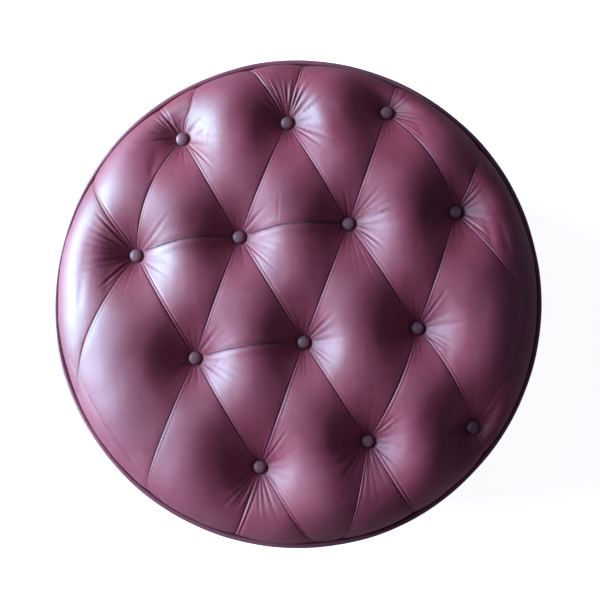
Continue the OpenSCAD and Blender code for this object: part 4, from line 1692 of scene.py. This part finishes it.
    def foam(self, top: Array, quads: Array) -> None:
        """Foam pad from the wadding down to the seat board.

        Args:
            top: points of its upper face.
            quads: quads of its upper face.
        """
        n, loop = len(top), border(quads)[:, 0]
        loop = loop[np.argsort(np.arctan2(top[loop, 1], top[loop, 0]))]
        ring, m = top[loop], len(loop)
        heading = unit(ring[:, :2])
        skirt_r = np.minimum(np.linalg.norm(ring[:, :2], axis=1), self.crown.edge_r - self.skirt_in)
        levels = []
        for share in (0.15, 0.5, 1.0):
            z = ring[:, 2] * (1 - share) + self.seat_z * share
            levels.append(np.c_[heading * (skirt_r - 0.6 * share)[:, None], z])
        points = np.concatenate([top, *levels, [[0, 0, self.seat_z]]])
        rows = [loop] + [n + i * m + np.arange(m) for i in range(3)]
        faces = quads.tolist()
        for upper, lower in zip(rows[:-1], rows[1:]):
            faces += np.stack([upper, lower, np.roll(lower, -1), np.roll(upper, -1)], -1).tolist()
        last, middle = rows[-1], len(points) - 1
        faces += [[int(last[j2]), int(last[j]), middle] for j, j2 in pairs(m)]
        foam = mesh_object("foam_seat_pad", points, faces)
        self.finishes.finish(foam, "foam", "foam_pad")

    def seam_lines(self) -> list[Array]:
        """Lines just above the seams that show their stitches.

        Returns:
            Points of each line.
        """
        lines = []
        for edge in self.lattice.EDGES:
            if edge.stitched:
                u = np.linspace(0.2, 0.99, 70)
                s = edge.start[0] + (u if edge.rightward else 0.015 + 0 * u)
                t = edge.start[1] + (0 * u - 0.015 if edge.rightward else u)
                points, run, _, _ = self.relief(s, t, True)
                lines.append(points[run < self.crown.reach - 3] + np.array([0, 0, 0.1]))
        return lines


@dataclass
class CoveredButtons:
    """Leather-covered buttons, each pulled a little askew, in millimetres."""

    places: Array
    finishes: Finishes
    radius: float = 7.85
    height: float = 6.5
    wall: float = 1.6
    segments: int = 56
    pleats: int = 13

    def build(self) -> None:
        """Builds the buttons one by one."""
        for k in range(len(self.places)):
            self.button(k)

    def dome(self, radius: float, height: float, power: float) -> list[tuple[float, float]]:
        """Rings of a dome, from its shoulder to just before its top.

        Args:
            radius: radius at the shoulder.
            height: height of the top.
            power: 1 for an ellipse, less for a fuller dome.

        Returns:
            Radius and height of each ring.
        """
        shoulder = 0.42 * self.height
        rings = []
        for u in np.linspace(0, 1, 13)[:-1]:
            z = shoulder + (height - shoulder) * math.sin(u * math.pi / 2)
            rings.append((radius * math.cos(u * math.pi / 2) ** power, z))
        return rings

    def button(self, k: int) -> None:
        """One button: a domed cap whose leather is gathered under its edge.

        Args:
            k: number of the button, from 0.
        """
        rng = np.random.default_rng(100 + k)
        outer = [(self.radius - 0.9, 0.0), (self.radius - 0.25, 0.6), (self.radius, 1.5)]
        outer += self.dome(self.radius, self.height, 0.82)
        inner_r, inner_h = self.radius - self.wall, self.height - self.wall
        inner = [*self.dome(inner_r, inner_h, 1.0)[::-1], (inner_r, 0.0)]
        n_out, n_in, seg = len(outer), len(inner), self.segments
        angle = turns(seg)
        phase = rng.uniform(0, TAU)
        points = []
        for r, z in outer:
            gather = 0.2 * np.exp(-z / 1.3) * np.cos(self.pleats * angle + phase + 0.6 * np.sin(2 * angle))
            press = 0.12 * np.cos(2 * angle + phase) * (z / self.height)
            points.append(around(r + gather + press, angle, z))
        points.append(np.array([[0, 0, self.height]]))
        points += [around(r, angle, z) for r, z in inner]
        points.append(np.array([[0, 0, inner_h]]))
        cloud = np.concatenate(points)
        tilt_a, tilt = rng.uniform(0, TAU), math.tan(math.radians(rng.uniform(0.5, 3.0)))
        slope = cloud[:, 0] * math.cos(tilt_a) + cloud[:, 1] * math.sin(tilt_a)
        cloud[:, 2] += tilt * slope + tilt * self.radius
        top, first_in = n_out * seg, n_out * seg + 1
        inner_top = first_in + n_in * seg
        last, rim_in = top - seg, inner_top - seg
        faces = band(n_out, seg, False, True).tolist()
        faces += [[last + j, last + j2, top] for j, j2 in pairs(seg)]
        faces += (band(n_in, seg, False, True) + first_in).tolist()
        faces += [[first_in + j2, first_in + j, inner_top] for j, j2 in pairs(seg)]
        faces += [[j, rim_in + j, rim_in + j2, j2] for j, j2 in pairs(seg)]
        button = mesh_object(f"covered_button_{k + 1:02d}", cloud + self.places[k], faces)
        self.finishes.finish(button, "button_leather", f"button_{k + 1:02d}")


# Piping, side and underside


@dataclass
class Piping:
    """Leather piping round a twisted cord, with its sewn flange, in millimetres."""

    name: str
    node: str
    ring_r: float
    ring_z: float
    flange_low: tuple[float, float]
    flange_high: tuple[float, float]
    seed: int
    finishes: Finishes
    trees: GeometryTrees
    radius: float = 3.1
    leather_t: float = 1.0
    cord_r: float = 1.75
    segments: int = 900
    corners: int = 20
    pucker: float = 0.10
    pucker_pitch: float = 4.9

    def sway(self, angle: Array) -> tuple[Array, Array]:
        """How far the ring strays from a true circle.

        Args:
            angle: angles round the pouf.

        Returns:
            Shifts outwards and upwards.
        """
        rng = np.random.default_rng(self.seed)
        out, up = 0 * angle, 0 * angle
        for k, high in ((2, 0.35), (4, 0.35), (7, 0.28), (11, 0.15), (19, 0.08), (31, 0.05)):
            a, b = rng.uniform(0, TAU, 2)
            out = out + high * np.cos(k * angle + a)
            up = up + 0.6 * high * np.cos((k + 1) * angle + b)
        return out, up

    def build(self) -> None:
        """Builds the piping and its cord."""
        seg, corners = self.segments, self.corners
        angle, turn = turns(seg)[:, None], turns(corners)[None, :]
        out, up = self.sway(angle)
        sewn_side = np.clip(np.cos(turn - math.radians(215)), 0, 1)
        pucker = self.pucker * np.cos(angle * round(TAU * self.ring_r / self.pucker_pitch)) * sewn_side
        quads = band(seg, corners, True, True)
        parts = [
            around(self.ring_r + out + ring * np.cos(turn), angle, self.ring_z + up + ring * np.sin(turn))
            for ring in (self.radius + pucker, self.radius - self.leather_t + 0 * pucker)
        ]
        (r0, z0), (r1, z1) = self.flange_low, self.flange_high
        profile = np.array([(r0, z0), (r1, z0), (r1, z1), (r0, z1)])
        parts.append(around(profile[None, :, 0] + out, angle, profile[None, :, 1] + 0.5 * up))
        flange = band(seg, 4, True, True)[:, ::-1] + 2 * seg * corners
        faces = [*quads[:, ::-1].tolist(), *(quads + seg * corners).tolist(), *flange.tolist()]
        piping = mesh_object(self.name, np.concatenate([part.reshape(-1, 3) for part in parts]), faces)
        sharp_by_angle(piping)
        self.finishes.finish(piping, "piping_leather", self.node)
        angle = turns(700)
        out, up = self.sway(angle)
        lay = {"Radius": self.cord_r * MM, "Lay": 11 * MM, "Step": 1.6 * MM}
        line = around(self.ring_r + out, angle, self.ring_z + up)
        cord = run_tree(f"{self.name}_cord", [line], True, self.trees.cord, **lay)
        place(cord, "piping_cord", f"{self.node}_cord")


@dataclass
class SidePanels:
    """Four leather panels over foam round the drum, turned under the base, in millimetres."""

    side_r: float
    top_z: float
    base_z: float
    wall_r: float
    seat_z: float
    finishes: Finishes
    trees: GeometryTrees
    bulge: float = 2.5
    leather_t: float = 1.2
    hem_w: float = 35.0
    bend_r: float = 3.0
    seam_gap: float = 0.15
    stitch_in: float = 4.0
    names: tuple[str, ...] = ("right", "back", "left", "front")

    def __post_init__(self) -> None:
        """Draws the waves in the leather."""
        self.waves = Unevenness(23, [(120, 0.45, 5), (45, 0.18, 6)])

    def profile(self, steps: int) -> tuple[Array, Array, Array]:
        """Profile of the side, from the hem's edge to the top.

        Args:
            steps: points up the side.

        Returns:
            Radius, height and share of the side's height.
        """
        low = self.base_z - self.leather_t
        hem = np.linspace(self.side_r - self.hem_w, self.side_r - self.bend_r, 8)
        turn = np.linspace(-math.pi / 2, 0, 7)[1:]
        z = np.linspace(low + self.bend_r, self.top_z, steps)[1:]
        x = 2 * (z - self.base_z) / (self.top_z - self.base_z) - 1
        side = self.side_r + self.bulge * np.clip(1 - x * x, 0, 1)
        r = np.concatenate([hem, self.side_r - self.bend_r + self.bend_r * np.cos(turn), side])
        height = np.concatenate([0 * hem + low, low + self.bend_r + self.bend_r * np.sin(turn), z])
        share = np.concatenate([0 * hem, 0 * turn, (z - low) / (self.top_z - low)])
        return r, height, share

    def face(self, middle: float, across: Array, inset: float) -> tuple[Array, Array]:
        """Points of a panel's face and its marks of painted shade in the seam grooves.

        Args:
            middle: angle of the panel's middle.
            across: angles from there.
            inset: depth under the face.

        Returns:
            Points, row by row up the panel, and painted shade marks.
        """
        r, z, share = self.profile(64)
        angle, up = (middle + across)[None, :], share[:, None]
        arc = self.side_r * (math.pi / 4 - np.abs(across))[None, :]
        body = smooth(up / 0.06) * smooth((1 - up) / 0.03)
        wave = self.waves.height(self.side_r * (angle + 0 * up), z[:, None] + 0 * angle)
        gather = np.sin(angle * 96 + 2 * np.sin(angle * 7)) * np.exp(-up / 0.045) * 0.35 * smooth(up / 0.01)
        pull = np.sin(angle * 128 + 1.5 * np.sin(angle * 11)) * np.exp(-(1 - up) / 0.035) * 0.22
        lift = body * (0.7 * bell((arc - 6) / 5.0) - 1.5 * bell(arc / 2.2) + wave) + gather + pull - inset
        slope_r, slope_z = np.gradient(r)[:, None], np.gradient(z)[:, None]
        length = np.hypot(slope_r, slope_z)
        radial = r[:, None] + lift * (slope_z / length)
        height = z[:, None] + lift * (-slope_r / length)
        # The marks are painted shade that darkens the leather in the grooves along the panel's seams.
        return around(radial, angle, height), bell(arc / 1.3) * smooth(up / 0.02) + 0 * angle

    def build(self) -> None:
        """Builds the panels, their foam and their stitching."""
        near = np.array([0.0, 0.8, 1.6, 2.6, 4.0, 6.0, 8.5, 12.0]) / self.side_r
        half = math.pi / 4 - self.seam_gap / self.side_r
        inner = np.linspace(-half + near[-1], half - near[-1], 110)[1:-1]
        across = np.concatenate([-half + near, inner, half - near[::-1]])
        lines = []
        for k, side in enumerate(self.names):
            middle = k * math.pi / 2
            face, crease = self.face(middle, across, 0.0)
            back, _ = self.face(middle, across, self.leather_t)
            quads = band(*face.shape[:2], False, False)
            panel = shell(f"side_leather_{side}", face.reshape(-1, 3), back.reshape(-1, 3), quads)
            paint(panel, "crease", crease.ravel())
            self.finishes.finish(panel, "side_leather", f"border_panel_{side}")
            for edge in (-1, 1):
                at = np.array([edge * (half - self.stitch_in / self.side_r)])
                strip, _ = self.face(middle, at, -0.12)
                lines.append(strip[16:, 0])
        stitch = {"Pitch": 4.6 * MM, "Length": 3.3 * MM, "Thickness": 0.75 * MM}
        place(run_tree("side_seam_stitches", lines, False, self.trees.stitches, **stitch), "side_leather")
        self.foam()

    def foam(self) -> None:
        """Foam sheet between the drum and the side leather."""
        r, z, share = self.profile(40)
        keep = (share > 0.02) & (z < self.seat_z - 0.5)
        outer = np.c_[r[keep] - self.leather_t - 1.2, z[keep]]
        low, high = self.base_z + 0.4, self.seat_z - 0.4
        start = [[self.wall_r, low], [outer[0, 0] - 1.5, low]]
        profile = np.concatenate([start, outer, [[outer[-1, 0], high], [self.wall_r, high]]])
        waves = Unevenness(31, [(0.9, 0.25, 4), (0.3, 0.12, 5)])
        segments, n = 300, len(profile)
        number, angle = np.arange(n)[None, :], turns(segments)[:, None]
        free = (number > 1) & (number < n - 2)
        radial = profile[None, :, 0] + (waves.height(angle, 0.06 * number) - 0.4) * free
        points = around(radial, angle, profile[None, :, 1]).reshape(-1, 3)
        foam = mesh_object("side_foam", points, band(segments, n, True, True))
        sharp_by_angle(foam)
        self.finishes.finish(foam, "foam", "border_foam")


@dataclass
class Underside:
    """Dust cover and the staples that hold it and the hem, in millimetres."""

    side_r: float
    base_z: float
    low_z: float
    outer_r: float
    feet: Array
    finishes: Finishes
    trees: GeometryTrees
    hem_w: float = 35.0
    cloth_t: float = 0.6
    sag: float = 1.6
    segments: int = 360

    def build(self) -> None:
        """Builds the dust cover and the staples."""
        inner, outer = self.side_r - self.hem_w - 6, self.outer_r
        spans = ((0, inner - 6, 34), (inner - 6, inner + 9, 12), (inner + 9, outer, 10))
        radii = np.concatenate([np.linspace(*span)[1:] for span in spans])
        seg, high_z = self.segments, self.base_z - self.cloth_t
        angle, r = turns(seg)[None, :], radii[:, None]
        step = smooth((r - inner) / 3.2)
        gaps = [np.hypot(r * np.cos(angle) - x, r * np.sin(angle) - y) for x, y in self.feet]
        free = smooth((np.min(gaps, axis=0) - 27) / 30)
        sag = self.sag * free * np.clip(1 - (r / inner) ** 2, 0, 1)
        sag = sag + 0.25 * free * np.sin(9 * angle + 3 * np.sin(2 * angle)) * smooth(r / 120) * (1 - step)
        pleat = 0.35 * np.abs(np.sin(24 * angle)) * bell((r - inner) / 14) * free
        edge = 0.5 * np.sin(13 * angle + 1.0) * smooth((r - outer + 5) / 5)
        z = high_z - (high_z - self.low_z) * step - sag - pleat
        low = np.concatenate([[[0, 0, high_z - self.sag]], around(r + edge, angle, z).reshape(-1, 3)])
        n, last = len(low), 1 + (len(radii) - 1) * seg
        quads = band(len(radii), seg, False, True) + 1
        faces = quads[:, ::-1].tolist() + [[0, 1 + j2, 1 + j] for j, j2 in pairs(seg)]
        faces += (quads + n).tolist() + [[n, n + 1 + j, n + 1 + j2] for j, j2 in pairs(seg)]
        faces += [[n + last + j, n + last + j2, last + j2, last + j] for j, j2 in pairs(seg)]
        high = low + np.array([0, 0, self.cloth_t - 0.12])
        cloth = mesh_object("dust_cover_cloth", np.concatenate([low, high]), faces)
        self.finishes.finish(cloth, "dust_cloth", "dust_cover")
        turn = turns(400)
        ring_r = outer - 7 + 1.2 * np.sin(17 * turn + np.random.default_rng(3).uniform(0, TAU))
        wire = {"Pitch": 33 * MM, "Length": 10 * MM, "Thickness": 0.9 * MM}
        line = around(ring_r, turn, self.low_z - 0.45)
        staples = run_tree("dust_cover_staples", [line], True, self.trees.staples, **wire)
        sharp_by_angle(staples)
        place(staples, "steel")


@dataclass
class Twine:
    """Tufting twine from each button to its knot, in millimetres."""

    places: Array
    knot_z: float
    trees: GeometryTrees
    loop_drop: float = 1.3
    eye_r: float = 1.9
    coil_r: float = 1.55

    def build(self) -> None:
        """Builds the twine of all the buttons as one piece."""
        lines = []
        turn = np.linspace(-math.pi / 2, 1.5 * math.pi, 18, endpoint=False)
        wind = np.linspace(0, 2.5 * TAU, 34)
        for x, y, z in self.places:
            top = z - self.loop_drop
            eye = np.c_[0 * turn, self.eye_r * np.cos(turn), top - self.eye_r + self.eye_r * np.sin(turn)]
            drop = np.linspace(top - 2 * self.eye_r, self.knot_z, 24)[1:]
            shank = np.c_[0 * drop, 0 * drop, drop]
            coil = around(self.coil_r, wind, self.knot_z - 2.4 * wind / wind[-1] + 1.2)
            lines.append(np.concatenate([eye, shank, coil]) + [x, y, 0])
        lay = {"Radius": 0.95 * MM, "Lay": 5 * MM, "Strands": 2.0, "Step": 0.9 * MM}
        place(run_tree("tufting_twine_laid", lines, False, self.trees.twine, **lay), "twine", "tufting_twine")


# Studio


class Lit(Enum):
    """What a lamp lights, as the state of the upright pieces in its light linking."""

    ALL = "ALL"
    BUT_UPRIGHT = "EXCLUDE"
    UPRIGHT = "INCLUDE"


@dataclass(frozen=True)
class Lamp:
    """A soft rectangular lamp that faces a target, in metres and watts."""

    name: str
    spot: Vector
    target: Vector
    size: tuple[float, float]
    power: float
    colour: Colour
    lit: Lit = Lit.ALL
    diffuse: bool = True
    glossy: bool = True

    def build(self, upright: Sequence[Piece]) -> None:
        """Places the lamp.

        Args:
            upright: the pieces that light linking sets apart.
        """
        light = bpy.data.lights.new(self.name, "AREA")
        light.shape = "RECTANGLE"
        light.size, light.size_y = self.size
        light.energy = self.power
        light.color = self.colour
        lamp = linked(bpy.data.objects.new(self.name, light))
        x, y, z = np.array(self.target) - np.array(self.spot)
        lamp.location = self.spot
        lamp.rotation_euler = (math.atan2(math.hypot(x, y), -z), 0.0, math.atan2(-x, y))
        lamp.visible_diffuse, lamp.visible_glossy = self.diffuse, self.glossy
        if self.lit is not Lit.ALL:
            group = bpy.data.collections.new(f"lit_by_{self.name}")
            for piece in upright:
                group.objects.link(piece)
            for entry in group.collection_objects:
                entry.light_linking.link_state = self.lit.value
            lamp.light_linking.receiver_collection = group


@dataclass
class Studio:
    """Pale floor, soft window-like light from the left and the camera over the pouf, in metres.

    The low window light is kept off the upright side, which dimmer lamps of its own light.
    """

    rim_z: float
    distance: float = 1.652
    tilt: float = 2.6
    focal_px: float = 1343.5
    aim: tuple[float, float] = (0.00274, 0.00293)
    floor_mm: float = 4000.0
    grey: float = 0.5
    mirrored: float = 0.06
    WINDOW: ClassVar[tuple] = ((-3.6, 0.7, 1.69), (0.0, 0.0, 0.38), (2.9, 1.7))
    ROOM: ClassVar[tuple] = ((0.0, 0.0, 0.25), (1.6, 0.9))
    ROOM_WHITE: ClassVar[Colour] = (0.95, 0.97, 1.0)
    UPRIGHT: ClassVar[tuple[str, ...]] = ("side_leather", "side_seam", "base_piping", "foot_", "glides")
    LAMPS: ClassVar[tuple[Lamp, ...]] = (
        Lamp("window_left", *WINDOW, 648.0, (0.43, 0.76, 1.0), Lit.BUT_UPRIGHT),
        Lamp("window_on_side", *WINDOW, 165.0, (0.62, 0.83, 1.0), Lit.UPRIGHT),
        Lamp(
            "window_sill", (-3.4, 0.5, 0.55), (0.0, 0.0, 0.38), (2.8, 0.9), 230.0, (0.45, 0.92, 0.98),
            Lit.BUT_UPRIGHT, diffuse=False,
        ),
        Lamp("ceiling_left", (-1.2, 0.25, 2.1), (-0.05, 0.0, 0.38), (1.2, 1.5), 9.0, (0.55, 0.78, 1.0)),
        Lamp("room_front", (0.5, -2.6, 0.55), *ROOM, 5.5, ROOM_WHITE, glossy=False),
        Lamp("room_back", (0.2, 2.8, 0.55), *ROOM, 7.0, ROOM_WHITE, glossy=False),
        Lamp("room_right", (2.8, 0.2, 0.55), *ROOM, 9.0, ROOM_WHITE, Lit.UPRIGHT, glossy=False),
    )

    def build(self) -> None:
        """Builds the floor, the lights, the world and the camera."""
        self.floor()
        upright = [o for o in bpy.data.objects if o.type == "MESH" and o.name.startswith(self.UPRIGHT)]
        for lamp in self.LAMPS:
            lamp.build(upright)
        self.world()
        self.camera()

    def floor(self) -> None:
        """A wide pale floor, white to the camera, that keeps the pouf's shadow and is clear from below."""
        corners = self.floor_mm * np.array([[-1, -1, 0], [1, -1, 0], [1, 1, 0], [-1, 1, 0]])
        floor = mesh_object("floor", corners, [[0, 1, 2, 3]])
        r = Surface("pale_floor", Roughness=0.9, Specular_IOR_Level=0.1)
        ray = r.put("ShaderNodeLightPath").outputs
        glossy = ray["Is Glossy Ray"]
        mirrored = r.mul(r.math("MAXIMUM", glossy, ray["Is Transmission Ray"]), self.mirrored)
        # To diffuse rays the floor glows at 0.3, a stand-in for light bounced off it; in reflections it shows
        # dim.
        bounced = r.math("MAXIMUM", mirrored, r.mul(ray["Is Diffuse Ray"], 0.3))
        white = r.blend(r.ramp(r.vector("LENGTH", r.where(), output="Value"), 1.0, 5.0), 0.92, 1.0)
        r.set(
            Base_Color=r.mix(glossy, (self.grey,) * 3, (self.mirrored,) * 3),
            Emission_Color=(1.0, 1.0, 1.0),
            Emission_Strength=r.mul(r.math("MAXIMUM", ray["Is Camera Ray"], bounced), white),
        )
        below = r.out("ShaderNodeNewGeometry", None, "Backfacing")
        clear = r.out("ShaderNodeBsdfTransparent")
        r.feed(r.output.inputs[0], r.out("ShaderNodeMixShader", {0: below, 1: r.shader.outputs[0], 2: clear}))
        floor.data.materials.append(r.material)

    def world(self) -> None:
        """White to the eye, and a dim even light on the pouf."""
        world = bpy.data.worlds.new("studio")
        world.use_nodes = True
        world.node_tree.nodes.clear()
        r = Recipe(world.node_tree)
        seen = r.out("ShaderNodeLightPath", None, "Is Camera Ray")
        colour = r.mix(seen, (0.34, 0.5, 1.0), (1.0, 1.0, 1.0))
        light = r.out("ShaderNodeBackground", {"Color": colour, "Strength": r.blend(seen, 0.12, 1.0)})
        r.put("ShaderNodeOutputWorld", {0: light})
        bpy.context.scene.world = world

    def camera(self) -> None:
        """The camera nearly straight over the pouf."""
        data = bpy.data.cameras.new("camera")
        data.sensor_width = 36.0
        data.lens = self.focal_px * data.sensor_width / 600
        data.clip_end = 50.0
        tilt = math.radians(self.tilt)
        x, y = self.aim
        camera = linked(bpy.data.objects.new("camera", data))
        camera.location = (x, y - self.distance * math.sin(tilt), self.rim_z + self.distance * math.cos(tilt))
        camera.rotation_euler = (tilt, 0.0, 0.0)
        bpy.context.scene.camera = camera


def main() -> None:
    """Builds the pouf and its studio."""
    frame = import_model()
    boxes = [node_box(f"button_{k:02d}") for k in range(1, 14)]
    places = np.array([[*((low + high) / 2)[:2], low[2]] for low, high in boxes])
    feet = [node_box(f"foot_{name}") for name in ("back_right", "back_left", "front_left", "front_right")]
    foot_places = np.array([((low + high) / 2)[:2] for low, high in feet])
    cover_high, panel_high, wall_high = (
        node_box(name)[1] for name in ("top_cover", "border_panel_right", "drum_wall")
    )
    seat_low, seat_high = node_box("seat_board")
    welt_low, welt_high = node_box("top_welt")
    base_low, base_high = node_box("bottom_welt")
    dust_low, dust_high = node_box("dust_cover")
    board_z = node_box("base_board")[0][2]
    clear, board_t, knot_lift, thick = 0.3, 18.0, 3.1, Piping.radius
    welt_r, welt_z = welt_high[0] - thick, welt_high[2] - thick
    base_r, base_z = base_high[0] - thick, base_low[2] + thick
    side_r, wall_r = welt_r - thick / 2, wall_high[0] + clear
    flange_r = side_r - 1.5

    finishes = Finishes(places[:, :2])
    trees = GeometryTrees(finishes)
    shared = (finishes, trees)
    crown = Crown(edge_r=cover_high[0], edge_z=welt_z)
    ButtonedTop(crown, Lattice(places[:, :2]), *shared, seat_high[2] + clear).build()
    CoveredButtons(places, finishes).build()
    Twine(places, seat_low[2] + knot_lift, trees).build()
    top_flange = (flange_r - 2, welt_low[2]), (flange_r, welt_z - 1.0)
    Piping("top_piping", "top_welt", welt_r, welt_z, *top_flange, 7, *shared).build()
    base_flange = (base_r - 15.0, base_z + 1.1), (base_r - 1.0, base_z + 2.9)
    Piping("base_piping", "bottom_welt", base_r, base_z, *base_flange, 8, *shared).build()
    SidePanels(side_r, panel_high[2], board_z, wall_r, seat_low[2] + board_t, *shared).build()
    Underside(side_r, board_z, dust_low[2], dust_high[0], foot_places, *shared).build()
    finishes.dress_nodes(frame["nodes"], frame["record"])
    Studio(welt_z * MM).build()

    bpy.context.scene.view_settings.view_transform = "Standard"


if __name__ == "__main__":
    main()
